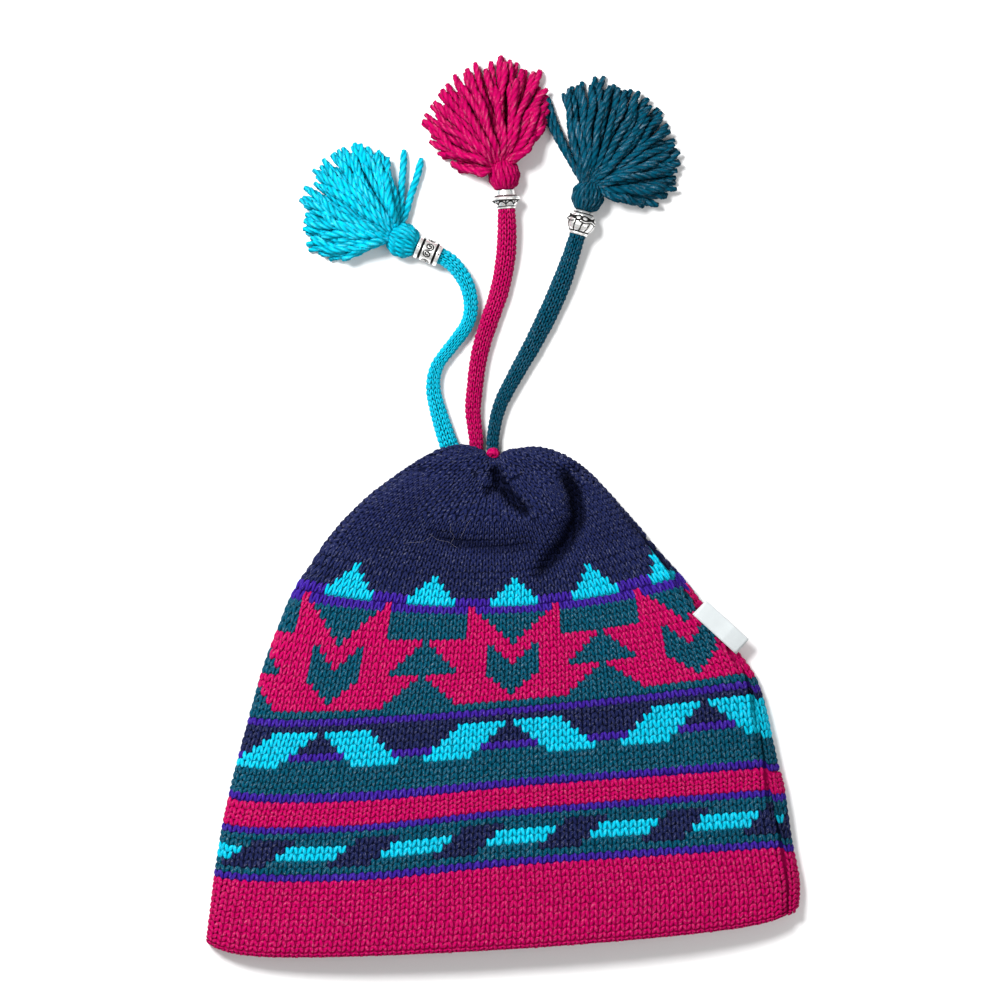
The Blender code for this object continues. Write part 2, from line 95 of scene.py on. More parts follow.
# Rows of the flattened tube from brim to gather, as shares of the hat's width, length and rise
Section = namedtuple(
    "Section",
    "left_x left_y middle_x middle_y right_x right_y turn_left turn_right rise",
)
SECTIONS = [
    Section(-0.500, -0.500, 0.008, -0.480, 0.498, -0.428, 0.029, 0.023, 0.80),
    Section(-0.493, -0.428, 0.010, -0.398, 0.500, -0.359, 0.014, 0.004, 0.88),
    Section(-0.485, -0.353, 0.012, -0.314, 0.488, -0.281, 0.014, 0.000, 0.93),
    Section(-0.473, -0.263, 0.013, -0.218, 0.475, -0.181, 0.014, 0.000, 0.96),
    Section(-0.461, -0.197, 0.013, -0.159, 0.463, -0.122, 0.014, 0.000, 0.98),
    Section(-0.430, -0.052, 0.013, -0.021, 0.430, 0.032, 0.010, 0.000, 1.00),
    Section(-0.401, 0.066, 0.012, 0.077, 0.371, 0.132, 0.008, 0.000, 1.00),
    Section(-0.357, 0.201, 0.005, 0.175, 0.309, 0.232, 0.004, 0.000, 1.00),
    Section(-0.327, 0.261, 0.003, 0.238, 0.270, 0.283, 0.000, 0.000, 1.00),
    Section(-0.287, 0.328, 0.000, 0.291, 0.227, 0.343, 0.000, 0.000, 1.00),
    Section(-0.233, 0.394, -0.003, 0.340, 0.181, 0.404, 0.000, 0.000, 1.00),
    Section(-0.173, 0.447, -0.005, 0.381, 0.139, 0.453, 0.000, 0.000, 0.98),
    Section(-0.117, 0.486, -0.007, 0.410, 0.096, 0.484, 0.000, 0.000, 0.92),
    Section(-0.072, 0.500, -0.008, 0.440, 0.055, 0.496, 0.000, 0.000, 0.84),
    Section(-0.039, 0.492, -0.012, 0.464, 0.011, 0.490, 0.000, 0.000, 0.74),
    Section(-0.027, 0.478, -0.014, 0.474, -0.003, 0.482, 0.000, 0.000, 0.62),
]

# Folds and swells of the front, as lines in shares of the hat's width and length
Fold = namedtuple("Fold", "lift spread line")
FOLDS = [
    Fold(0.26, 0.070, [(0.029, 0.383), (0.070, 0.383)]),
    Fold(0.12, 0.045, [(-0.148, 0.412), (-0.072, 0.451)]),
    Fold(-0.36, 0.020, [(0.096, 0.455), (0.121, 0.404), (0.126, 0.357), (0.106, 0.308), (0.048, 0.237)]),
    Fold(-0.33, 0.017, [(-0.018, 0.459), (-0.003, 0.422), (0.015, 0.394), (0.047, 0.361)]),
    Fold(-0.12, 0.012, [(-0.005, 0.418), (-0.035, 0.404)]),
    Fold(-0.10, 0.020, [(-0.131, 0.334), (-0.081, 0.310), (-0.005, 0.300), (0.062, 0.308)]),
]

# Where the underside of the crown lifts to let the cords out, and the middle of the gather, in shares
LIP_FOOT, LIP_EDGE = 0.445, 0.471
GATHER = (-0.010, 0.4746)

# The row of stitches at each of the first sections, and the first and last rows of each band
ROW_AT_SECTION = [0, 6, 12, 19, 24, 35, 43, 51, 56]
BANDS = {
    "knit_hem": (0, 11), "knit_border": (12, 24), "knit_zigzag": (25, 35), "knit_stars": (36, 46),
    "knit_peaks": (47, 56),
}
# The places where the plain crown starts and where it ends at the gather
CROWN_PLACE, GATHER_PLACE = len(ROW_AT_SECTION) - 1.0, len(SECTIONS) - 1.0

# Where four columns of stitches cross the first sections, as shares of the way from the left to the right
# fold: the columns 24 left of the middle star, at it and 24 right of it, and the side seam
Columns = namedtuple("Columns", "left middle right seam")
COLUMNS = [
    Columns(0.135, 0.508, 0.870, 0.981),
    Columns(0.137, 0.507, 0.866, 0.979),
    Columns(0.140, 0.507, 0.866, 0.981),
    Columns(0.142, 0.509, 0.868, 0.973),
    Columns(0.144, 0.509, 0.875, 0.976),
    Columns(0.150, 0.514, 0.891, 0.984),
    Columns(0.154, 0.541, 0.926, 0.988),
    Columns(0.141, 0.564, 0.980, 0.985),
    Columns(0.126, 0.581, 0.992, 0.990),
]
REPEAT = 24
FIRST_COLUMN, LAST_COLUMN = -115, 31
LEFT_TURN_COLUMN = -36

# Colours of the chart, in the order of the knit's materials
PINK, TURQUOISE, TEAL, VIOLET, NAVY = range(5)
PLAIN_ROWS = {12: VIOLET, 13: TEAL, 18: TEAL, 19: VIOLET, 24: VIOLET, 34: NAVY, 35: VIOLET, 36: TEAL}
# Half widths of the teal and pink figures of the star, counted in columns from its middle, row by row
Star = namedtuple("Star", "pink_from pink_to teal_from teal_to")
STAR_ROWS = [
    Star(0, 7, 1, 0), Star(0, 8, 0, 0), Star(0, 9, 0, 1), Star(0, 10, 0, 2), Star(0, 11, 0, 3),
    Star(0, 7, 0, 3), Star(0, 8, 1, 3), Star(0, 9, 2, 3), Star(0, 10, 3, 3), Star(0, 11, 0, 0),
    Star(0, 6, 0, 1), Star(3, 6, 0, 2), Star(4, 6, 0, 3), Star(5, 6, 0, 4), Star(6, 6, 1, 0),
]

# Routes of the cords from the gather, in metres from it, and how far each has risen to its bead's height
TURQUOISE_ROUTE = [
    (-0.0185, 0.0016, 0.0), (-0.0206, 0.0074, 0.0), (-0.0242, 0.0189, 0.0), (-0.0263, 0.0288, 0.0),
    (-0.0247, 0.0378, 0.0), (-0.0185, 0.0464, 0.0), (-0.0127, 0.0543, 0.0), (-0.0107, 0.0625, 0.2),
    (-0.0127, 0.0719, 0.6), (-0.0177, 0.0793, 0.9), (-0.0230, 0.0830, 1.0), (-0.0329, 0.0871, 1.0),
]
PINK_ROUTE = [
    (-0.0090, 0.0016, 0.0), (-0.0086, 0.0074, 0.0), (-0.0099, 0.0189, 0.0), (-0.0090, 0.0304, 0.0),
    (-0.0070, 0.0436, 0.0), (-0.0033, 0.0559, 0.0), (0.0008, 0.0682, 0.0), (0.0033, 0.0806, 0.2),
    (0.0041, 0.0921, 0.7), (0.0039, 0.1010, 1.0), (0.0033, 0.1101, 1.0),
]
TEAL_ROUTE = [
    (-0.0016, 0.0012, 0.0), (-0.0016, 0.0090, 0.0), (0.0012, 0.0214, 0.0), (0.0074, 0.0337, 0.0),
    (0.0148, 0.0469, 0.0), (0.0214, 0.0600, 0.0), (0.0267, 0.0723, 0.2), (0.0304, 0.0830, 0.6),
    (0.0331, 0.0915, 1.0), (0.0358, 0.1015, 1.0),
]

# Each cord's thickness on its way from the gather, as shares of its length and of CORD_DIAMETER
TURQUOISE_SWELL = [
    (0.0, 1.20), (0.15, 1.05), (0.3, 0.80), (0.4, 0.72), (0.55, 0.80), (0.7, 0.86), (0.85, 0.98),
    (1.0, 0.96),
]
PINK_SWELL = [(0.0, 0.80), (0.2, 0.96), (0.5, 1.12), (0.75, 1.24), (0.86, 1.18), (0.94, 1.0), (1.0, 0.96)]
TEAL_SWELL = [
    (0.0, 0.64), (0.15, 0.76), (0.35, 0.98), (0.55, 1.22), (0.7, 1.24), (0.85, 1.0), (0.93, 0.94),
    (1.0, 0.94),
]

# Bead outlines: share of the length from the end at the cord, share of the radius
BARREL_OUTLINE = [
    (0.00, 0.94), (0.03, 1.00), (0.16, 1.00), (0.18, 0.93), (0.23, 0.93), (0.25, 1.00),
    (0.75, 1.00), (0.77, 0.93), (0.82, 0.93), (0.84, 1.00), (0.97, 1.00), (1.00, 0.94),
]
SAUCER_OUTLINE = [
    (0.00, 0.62), (0.08, 0.66), (0.14, 0.64), (0.40, 0.88), (0.46, 0.96), (0.54, 1.00),
    (0.62, 0.96), (0.68, 0.80), (0.74, 0.66), (0.94, 0.62), (1.00, 0.60),
]
ROUND_OUTLINE = [
    (0.00, 0.64), (0.06, 0.68), (0.12, 0.66), (0.24, 0.86), (0.38, 0.97), (0.52, 1.00),
    (0.66, 0.96), (0.80, 0.85), (0.92, 0.70), (1.00, 0.60),
]

# Each tassel's spread: degrees from its own direction, positive to the left, and reach as a share of
# TASSEL_REACH. Strays are single strands that lie apart from the others.
TURQUOISE_LIE = 135
TURQUOISE_SPREAD = [
    (76, 0.58), (66, 0.74), (56, 0.86), (40, 0.90), (24, 0.96), (8, 0.98), (-8, 0.96), (-22, 0.94),
    (-34, 0.86), (-42, 0.66),
]
TURQUOISE_STRAYS = [(-53, 0.84), (-67, 0.80)]
PINK_LIE = 92
PINK_SPREAD = [
    (104, 0.42), (84, 0.62), (62, 0.88), (46, 0.90), (31, 0.95), (17, 1.00), (3, 1.05), (-11, 1.02),
    (-24, 0.95), (-36, 0.80), (-56, 0.52),
]
PINK_STRAYS = []
TEAL_LIE = 86
TEAL_SPREAD = [
    (22, 0.92), (10, 1.02), (0, 1.06), (-12, 1.04), (-25, 1.04), (-38, 1.00), (-51, 0.98), (-65, 0.96),
    (-79, 0.92), (-93, 0.86), (-110, 0.62),
]
TEAL_STRAYS = [(36, 1.02), (30, 0.98)]


def colour_setting(name, description, default):
    return FloatVectorProperty(
        name=name, description=description, subtype="COLOR", min=0, max=1, default=default
    )


def length_setting(name, description, default, least, most):
    return FloatProperty(
        name=name, description=description, default=default, min=least, max=most, unit="LENGTH"
    )


def share_setting(name, description, default, least, most):
    return FloatProperty(
        name=name, description=description, default=default, min=least, max=most, subtype="FACTOR"
    )


class YarnColours(bpy.types.PropertyGroup):
    pink: colour_setting("Pink", "Hem, stars and one cord", (0.362, 0.000, 0.071))
    turquoise: colour_setting("Turquoise", "Zigzags, peaks and one cord", (0.000, 0.400, 0.560))
    teal: colour_setting("Teal", "Ground of the bands and one cord", (0.000, 0.056, 0.098))
    violet: colour_setting("Violet", "Thin lines between the bands", (0.032, 0.009, 0.215))
    navy: colour_setting("Navy", "Crown and ground of the zigzag", (0.0085, 0.0125, 0.056))


class KnitSizes(bpy.types.PropertyGroup):
    ground_depth: length_setting(
        "Ground depth", "How far the fabric under the stitches lies inside the outer face",
        0.0009, 0.0004, 0.0015,
    )
    leg_width: share_setting(
        "Leg width", "Width of one leg of a stitch as a share of the stitch's width", 0.47, 0.3, 0.6
    )
    leg_thickness: length_setting("Leg thickness", "Thickness of one leg of a stitch", 0.0014, 0.0006, 0.0020)
    unevenness: share_setting("Unevenness", "How much the stitches differ in place and size", 0.05, 0, 0.2)
    seam_depth: length_setting("Seam depth", "How deep the side seam is drawn in", 0.0022, 0, 0.004)


class CordSizes(bpy.types.PropertyGroup):
    diameter: length_setting(
        "Diameter", "Thickness of a cord where it neither swells nor thins", CORD_DIAMETER, 0.003, 0.010
    )
    stitches_round: IntProperty(
        name="Stitches round", description="Columns of stitches round a cord", default=10, min=4, max=12
    )
    row_height: length_setting("Row height", "Height of a row of stitches", 0.0022, 0.001, 0.004)


class BeadFinish(bpy.types.PropertyGroup):
    silver: colour_setting("Silver", "Polished faces", (0.92, 0.91, 0.89))
    tarnish: colour_setting("Tarnish", "Dark recesses", (0.008, 0.008, 0.008))
    relief: length_setting("Relief", "Depth of the engraving", 0.00022, 0, 0.0005)


class TasselSizes(bpy.types.PropertyGroup):
    strand_diameter: length_setting("Strand diameter", "Thickness of a plied strand", 0.0031, 0.001, 0.004)
    twist_length: length_setting("Twist length", "Length of one full twist of the plies", 0.0115, 0.003, 0.02)
    strands: IntProperty(name="Strands", description="Strands of each tassel", default=84, min=10, max=120)


class LabelFinish(bpy.types.PropertyGroup):
    satin: colour_setting("Satin", "Woven ribbon of the side tab", (0.56, 0.60, 0.61))
    ribbon_thickness: length_setting("Ribbon thickness", "Thickness of one layer", 0.00035, 0.0001, 0.0006)


class StageLook(bpy.types.PropertyGroup):
    floor: colour_setting("Floor", "Pale floor", (0.90, 0.90, 0.90))
    lens: FloatProperty(
        name="Lens", description="Focal length of the camera in millimetres", default=200.0,
        min=50.0, max=400.0,
    )
    light_power: FloatProperty(
        name="Light power", description="Power of the main soft light in watts", default=20.0,
        min=0.0, max=100.0,
    )


GROUPS = {
    "beanie_yarns": YarnColours,
    "beanie_knit": KnitSizes,
    "beanie_cords": CordSizes,
    "beanie_beads": BeadFinish,
    "beanie_tassels": TasselSizes,
    "beanie_label": LabelFinish,
    "beanie_stage": StageLook,
}


def settings(name):
    return getattr(bpy.context.scene, name)


# Numbers and curves


def smooth_step(share):
    share = np.clip(share, 0.0, 1.0)
    return share * share * (3.0 - 2.0 * share)


def read_table(table, place):
    """The rows of a table read at fractional places, on a Catmull-Rom curve, one column after the other."""
    values = np.array(table, float)
    place = np.asarray(place, float)
    last = len(values) - 1
    index = np.clip(place.astype(int), 0, last - 1)
    share = (place - index)[..., None]
    before, start, end, after = (values[np.clip(index + step, 0, last)] for step in (-1, 0, 1, 2))
    slope_in, slope_out = (end - before) / 2.0, (after - start) / 2.0
    square, cube = share**2, share**3
    found = (
        (2 * cube - 3 * square + 1) * start
        + (cube - 2 * square + share) * slope_in
        + (3 * square - 2 * cube) * end
        + (cube - square) * slope_out
    )
    return np.moveaxis(found, -1, 0)


def read_steps(table, where):
    """The second column of a short table of pairs, read between the values of its first."""
    firsts, seconds = zip(*sorted(table))
    return np.interp(where, firsts, seconds)


def unit(vectors):
    return vectors / np.maximum(np.linalg.norm(vectors, axis=-1, keepdims=True), 1e-12)


def run_along(points):
    """The distance along a line of points, at each point."""
    steps = np.linalg.norm(np.diff(points, axis=0), axis=1)
    return np.concatenate([[0.0], np.cumsum(steps)])


def spaced(points, spacing):
    """Points that far apart, or a little less, on a smooth curve through the given ones."""
    points = np.array(points, float)
    fine = read_table(points, np.linspace(0, len(points) - 1, 24 * len(points))).T
    run = run_along(fine)
    wanted = np.linspace(0, run[-1], math.ceil(run[-1] / spacing) + 1)
    return np.stack([np.interp(wanted, run, fine[:, axis]) for axis in range(3)], axis=1)


def frames_along(path):
    """Directions along, to the side of and above each point of a path that is nowhere upright."""
    ways = unit(np.gradient(path, axis=0))
    sides = unit(np.cross([0.0, 0.0, 1.0], ways))
    return ways, sides, np.cross(ways, sides)


# The outer face of the hat

# The side seam: how broad its groove is, the place where it starts to run out and how soon it has, how much
# light its painted shadow takes, and by how much of a column the last stitches may stand over it
SEAM_SPREAD = 0.0016
SEAM_FULL_PLACE, SEAM_FADE_PLACES = 8.5, 1.5
SEAM_SHADOW = 0.7
SEAM_OVERLAP = 0.1
# Steps among the sections and round the tube over which directions are read
PLACE_STEP, TURN_STEP = 0.02, 0.004
# The lower rows hang down on the left of the front: by how many rows, round which turn and how far from it,
# the rows that do so in full, and over how many rows it ends
SAG_ROWS, SAG_TURN, SAG_REACH = 0.80, 0.26, 0.17
SAG_FULL_ROW, SAG_LAST_FULL_ROW, SAG_FADE_ROWS = 12, 16, 20
# The rows of the peaks climb towards the sides: by how many rows at least and for each turn, from which turn,
# how far from it they stay level and then climb, and how far from it the underside counts as
CLIMB_LEAST, CLIMB_SLOPE = 0.4, 6.0
CLIMB_TURN, CLIMB_LEVEL, CLIMB_REACH, CLIMB_UNDER = 0.45, 0.07, 0.38, 0.5


def row_at(place):
    """The row at a place among the sections, with its lengths in metres."""
    scale = 3 * [HAT_WIDTH, HAT_LENGTH] + [HAT_LENGTH, HAT_LENGTH, HAT_RISE]
    return Section(*(share * size for share, size in zip(read_table(SECTIONS, place), scale)))


def row_width(row):
    left = np.hypot(row.middle_x - row.left_x, row.middle_y - row.left_y)
    return left + np.hypot(row.right_x - row.middle_x, row.right_y - row.middle_y)


def fold_radius(width):
    return np.minimum(FOLD_RADIUS, FOLD_SHARE * width)


def half_round(width):
    """The length of the front from the outermost line of one fold to that of the other."""
    fold = fold_radius(width)
    return width - 2 * fold + math.pi * fold


def row_point(row, across, width):
    left = (1 - across) * (1 - 2 * across)
    middle = 4 * across * (1 - across)
    right = across * (2 * across - 1)
    turn = row.turn_left * np.exp(-across * width / FOLD_TURN_REACH)
    turn = turn + row.turn_right * np.exp(-(1 - across) * width / FOLD_TURN_REACH)
    x = left * row.left_x + middle * row.middle_x + right * row.right_x
    y = left * row.left_y + middle * row.middle_y + right * row.right_y + turn
    return x, y


def nearest_on_line(x, y, line):
    """The distance to a line of straight stretches given in shares, and how far along it, from 0 to 1."""
    best = np.full(np.shape(x), np.inf)
    best_along = np.zeros(np.shape(x))
    for number, ((x_start, y_start), (x_end, y_end)) in enumerate(zip(line, line[1:])):
        start_x, start_y = x_start * HAT_WIDTH, y_start * HAT_LENGTH
        way_x, way_y = x_end * HAT_WIDTH - start_x, y_end * HAT_LENGTH - start_y
        along = ((x - start_x) * way_x + (y - start_y) * way_y) / (way_x**2 + way_y**2)
        along = np.clip(along, 0.0, 1.0)
        far = np.hypot(x - start_x - along * way_x, y - start_y - along * way_y)
        nearer = far < best
        best = np.where(nearer, far, best)
        best_along = np.where(nearer, (number + along) / (len(line) - 1), best_along)
    return best, best_along


def under_height(y):
    share = (y / HAT_LENGTH - LIP_FOOT) / (LIP_EDGE - LIP_FOOT)
    return (CORD_DIAMETER + CLEARANCE) * smooth_step(share)


def front_rise(row, across, fold, x, y):
    """How far the front stands above twice the fold's radius: crowned, with the crown's folds."""
    least = under_height(y) + 2 * fold
    crowned = np.maximum(1 - np.abs(2 * across - 1) ** 3, 0.0) ** 0.7
    height = least + np.maximum(row.rise - least, 0.0) * crowned
    for crease in FOLDS:
        distance, along = nearest_on_line(x, y, crease.line)
        far = distance / (crease.spread * HAT_LENGTH)
        lasting = 1.0 if crease.lift > 0 else 1.0 - np.abs(2 * along - 1) ** 3
        height = height + crease.lift * HAT_RISE * crowned * lasting * np.exp(-far * far)
    return np.maximum(height - least, 0.0)


def front_turn(place, share):
    """The turn of a point of the front given by its share of the way from fold to fold, seen from above."""
    row = row_at(place)
    width = row_width(row)
    bend = 2 * (row.left_x - 2 * row.middle_x + row.right_x)
    slope = 4 * row.middle_x - 3 * row.left_x - row.right_x
    gone = share * (row.right_x - row.left_x)
    across = 2 * gone / (slope + np.sqrt(slope**2 + 4 * bend * gone))
    fold = fold_radius(width)
    half = half_round(width)
    chord = np.clip(across, 0.0, 1.0) * width
    near = np.minimum(chord, width - chord)
    arc = fold * np.arccos(np.clip(1 - near / fold, -1.0, 1.0))
    run = np.where(near < fold, arc, near - fold + math.pi / 2 * fold)
    return np.where(chord < width / 2, run, half - run) / half


def seam_lasting(place):
    """1 up to the start of the crown, falling to 0 as the seam runs out there."""
    return 1 - smooth_step((place - SEAM_FULL_PLACE) / SEAM_FADE_PLACES)


def seam_turn(place):
    """The turn of the side seam, which runs up the front close to the right fold."""
    return front_turn(place, read_table(COLUMNS, np.minimum(place, len(COLUMNS) - 1))[3])


def face_point(place, turn):
    """The point of the outer face at a place among the sections and a turn."""
    place, turn = np.broadcast_arrays(np.asarray(place, float), np.mod(np.asarray(turn, float), 2.0))
    row = row_at(place)
    width = row_width(row)
    fold = fold_radius(width)
    half = half_round(width)
    front = turn < 1
    run = np.where(front, turn, 2 - turn) * half
    quarter = math.pi / 2 * fold
    near = np.minimum(run, half - run)
    angle = np.minimum(near / fold, math.pi / 2)
    chord = np.where(near < quarter, fold * (1 - np.cos(angle)), near - quarter + fold)
    across = np.where(run < half / 2, chord, width - chord) / width
    x, y = row_point(row, across, width)
    bent = np.sin(angle)
    base = under_height(y) + fold
    above = base + fold * bent + front_rise(row, across, fold, x, y) * bent**2
    seam = (turn - seam_turn(place)) * half / SEAM_SPREAD
    above = above - settings("beanie_knit").seam_depth * np.exp(-seam * seam) * seam_lasting(place)
    z = np.where(front, above, base - fold * bent)
    return np.stack([x, y, z], axis=-1)


def face_normal(place, turn):
    """The outward direction of the outer face."""
    low = np.maximum(place - PLACE_STEP, 0.0)
    high = np.minimum(place + PLACE_STEP, GATHER_PLACE)
    up = face_point(high, turn) - face_point(low, turn)
    across = face_point(place, turn + TURN_STEP) - face_point(place, turn - TURN_STEP)
    return unit(np.cross(across, up))


def inside_point(place, turn, depth):
    """The point that lies so far inside the outer face."""
    return face_point(place, turn) - depth * face_normal(place, turn)


def place_of_row(row):
    """The place among the sections of a row of stitches, up to the last charted one."""
    return np.interp(row, ROW_AT_SECTION, range(len(ROW_AT_SECTION)))


def hung_places(rows, turns):
    """The places of rows of stitches at their turns. The lower rows hang a little on the left of the front,
    and the rows of the peaks are stretched towards the sides."""
    turns = np.mod(turns, 2.0)
    bell = np.exp(-(((turns - SAG_TURN) / SAG_REACH) ** 2))
    ended = smooth_step((rows - SAG_LAST_FULL_ROW) / SAG_FADE_ROWS)
    lasting = smooth_step(rows / SAG_FULL_ROW) * (1 - ended)
    first, last = ROW_AT_SECTION[-2:]
    aside = np.where(turns < 1, np.abs(turns - CLIMB_TURN), CLIMB_UNDER)
    climb = CLIMB_LEAST + CLIMB_SLOPE * np.clip(aside - CLIMB_LEVEL, 0.0, CLIMB_REACH)
    rows = rows - SAG_ROWS * bell * lasting + climb * np.clip((rows - first) / (last - first), 0.0, 1.0)
    return place_of_row(rows) + np.maximum(rows - last, 0.0) / (last - first)


def column_turns(place, columns):
    """The turn at which each column of stitches crosses a place, and whether it shows.

    Columns run from the seam over the underside to the left fold and on over the front to the seam, where the
    last of them are drawn in and don't show."""
    shares = read_table(COLUMNS, np.minimum(place, len(COLUMNS) - 1))
    left, middle, right, seam = (front_turn(place, share) for share in shares)

    def front(column):
        share = column / REPEAT
        return (share * (share - 1) * left + share * (share + 1) * right) / 2 + (1 - share**2) * middle

    pitch = (2 + front(LEFT_TURN_COLUMN) - seam) / (LEFT_TURN_COLUMN - FIRST_COLUMN)
    under = seam + (columns - FIRST_COLUMN + 0.5) * pitch * (1 - 0.5 / (LEFT_TURN_COLUMN - FIRST_COLUMN))
    turns = np.where(columns < LEFT_TURN_COLUMN, under, 2 + front(columns))
    shows = (columns < LEFT_TURN_COLUMN) | (front(columns) < seam + SEAM_OVERLAP / REPEAT * (middle - left))
    return turns, shows


def colour_at(row, column):
    """The chart: the colour of the stitch in a row and a column, column 0 being a star's middle."""
    half = REPEAT // 2
    place = (column + half) % REPEAT - half
    away = abs(place)
    if row <= 11 or 20 <= row <= 23:
        return PINK
    if row in PLAIN_ROWS:
        return PLAIN_ROWS[row]
    if 14 <= row <= 17:
        slant = (place + half // 2) % half - half // 2
        starts = {14: (-3, 3, TEAL), 15: (-2, 4, TURQUOISE), 16: (-1, 5, TURQUOISE), 17: (0, 6, TEAL)}
        first, last, colour = starts[row]
        inside = first <= slant <= last or first <= slant + half <= last
        return colour if inside else NAVY
    if 25 <= row <= 28:
        return TEAL
    if 29 <= row <= 33:
        climbed = row - 29
        if max(5 - climbed, 1) <= away <= 10 - climbed:
            return TURQUOISE
        return {29: TEAL, 30: VIOLET}.get(row, NAVY)
    if 37 <= row <= 51:
        star = STAR_ROWS[row - 37]
        if star.teal_from <= away <= star.teal_to:
            return TEAL
        if star.pink_from <= away <= star.pink_to:
            return PINK
        return VIOLET if row == 51 else TEAL
    if 52 <= row <= 55:
        narrow = 3 - (row - 52)
        if away <= narrow or away >= half - narrow:
            return TURQUOISE
        return VIOLET if row == 52 else NAVY
    return NAVY


# Making meshes


class Shape:
    """Points and faces gathered for one piece, with what its yarn does at each point: how far along and how
    far round the strand it is, a chance value that each stitch or strand has of its own, and its painted
    light, which is 1 on the top of a strand, where the finish paints a highlight, and 0 in the gaps between
    strands, where it paints shade; the painted shadows of the folds and the seam lower it on the stitches."""

    def __init__(self):
        self.points, self.yarn, self.crest = [], [], []
        self.faces, self.looks = {3: [], 4: []}, {3: [], 4: []}
        self.count = 0

    def add(self, points, groups, yarn=None, crest=0.0):
        """Adds points, and pairs of triangles or quads and their looks, which are one for all or one each."""
        points = np.asarray(points, float).reshape(-1, 3)
        for faces, look in groups:
            sides = faces.shape[1]
            self.faces[sides].append(faces + self.count)
            self.looks[sides].append(np.broadcast_to(look, len(faces)))
        self.points.append(points)
        self.yarn.append(np.zeros_like(points) if yarn is None else np.asarray(yarn, float).reshape(-1, 3))
        self.crest.append(np.broadcast_to(crest, len(points)))
        self.count += len(points)

    def piece(self, name, looks, node, slot):
        """Makes the object, which rides on the hat, stands for a solid and takes its finish from the looks.
        slot is not used.
        """
        mesh = bpy.data.meshes.new(name)
        corners, looks_of, starts, start = [], [], [], 0
        for sides in (3, 4):
            if self.faces[sides]:
                group = np.concatenate(self.faces[sides])
                corners.append(group.ravel())
                looks_of.append(np.concatenate(self.looks[sides]))
                starts.append(start + sides * np.arange(len(group)))
                start += group.size
        points = np.concatenate(self.points)
        mesh.vertices.add(len(points))
        mesh.vertices.foreach_set("co", points.ravel())
        mesh.loops.add(start)
        mesh.loops.foreach_set("vertex_index", np.concatenate(corners))
        mesh.polygons.add(sum(map(len, starts)))
        mesh.polygons.foreach_set("loop_start", np.concatenate(starts))
        mesh.update(calc_edges=True)
        mesh.polygons.foreach_set("material_index", np.concatenate(looks_of))
        strand = mesh.attributes.new("yarn", "FLOAT_VECTOR", "POINT")
        strand.data.foreach_set("vector", np.concatenate(self.yarn).ravel())
        mesh.attributes.new("crest", "FLOAT", "POINT").data.foreach_set("value", np.concatenate(self.crest))
        mesh.shade_smooth()
        for look in looks:
            mesh.materials.append(look)
        thing = bpy.data.objects.new(name, mesh)
        bpy.context.scene.collection.objects.link(thing)
        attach(thing, "root")
        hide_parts(node)
        return thing


def grid_faces(rings, sides, closed=True):
    """Quads between rings of points, one ring after the other."""
    ring, side = np.meshgrid(np.arange(rings - 1), np.arange(sides if closed else sides - 1), indexing="ij")
    here, after = ring * sides + side, ring * sides + (side + 1) % sides
    return np.stack([here, after, after + sides, here + sides], axis=-1).reshape(-1, 4)


def fan_faces(ring_start, sides, tip, towards):
    """Triangles from a ring to one point beyond its end, or before its start."""
    side = np.arange(sides)
    here, after = ring_start + side, ring_start + (side + 1) % sides
    tips = np.full(sides, tip)
    return np.stack([here, after, tips] if towards else [after, here, tips], axis=1)


def tube_faces(rings, sides, look):
    """The faces of a tube whose rings are followed by one point beyond its start and one beyond its end."""
    total = rings * sides
    caps = np.concatenate([
        fan_faces(0, sides, total, False), fan_faces(total - sides, sides, total + 1, True),
    ])
    return [(grid_faces(rings, sides), look), (caps, look)]


# Rings of a stitch's leg: how far along it, its thickness, and its height over the ground, all as shares
LEG_RINGS = [(0.14, 0.78, 0.45), (0.48, 1.00, 1.00), (0.84, 0.84, 0.50)]
# Where a leg starts and ends beside the middle of its stitch, in shares of the stitch's width and height
LEG_FOOT = (0.10, -0.50)
LEG_HEAD = (0.41, 0.82)
# The painted light at the tips of a leg and at the ends of a tube
TIP_PAINTED_LIGHT = 0.45
STITCH_WIDTH, STITCH_HEIGHT = 0.0034, 0.00275
LEG_LIFT = 0.00045
# The painted light left in the gaps between stitches
STITCH_GAP_LIGHT = 0.35
# How much the size of a stitch differs across, upward and outward, and how much its place does
UNEVEN_SIZE, UNEVEN_PLACE = (0.5, 1.0, 1.5), 0.6
# The painted shadow in a deep fold: its breadth as a share of the fold's, how suddenly it ends along
# the fold, and the lift of a fold whose painted shadow leaves no painted light
SHADOW_REACH, SHADOW_END_POWER, DEEPEST_FOLD = 0.60, 4, -0.17
# How far the point at a tube's end stands out, as a share of its radius
TUBE_END = 0.4


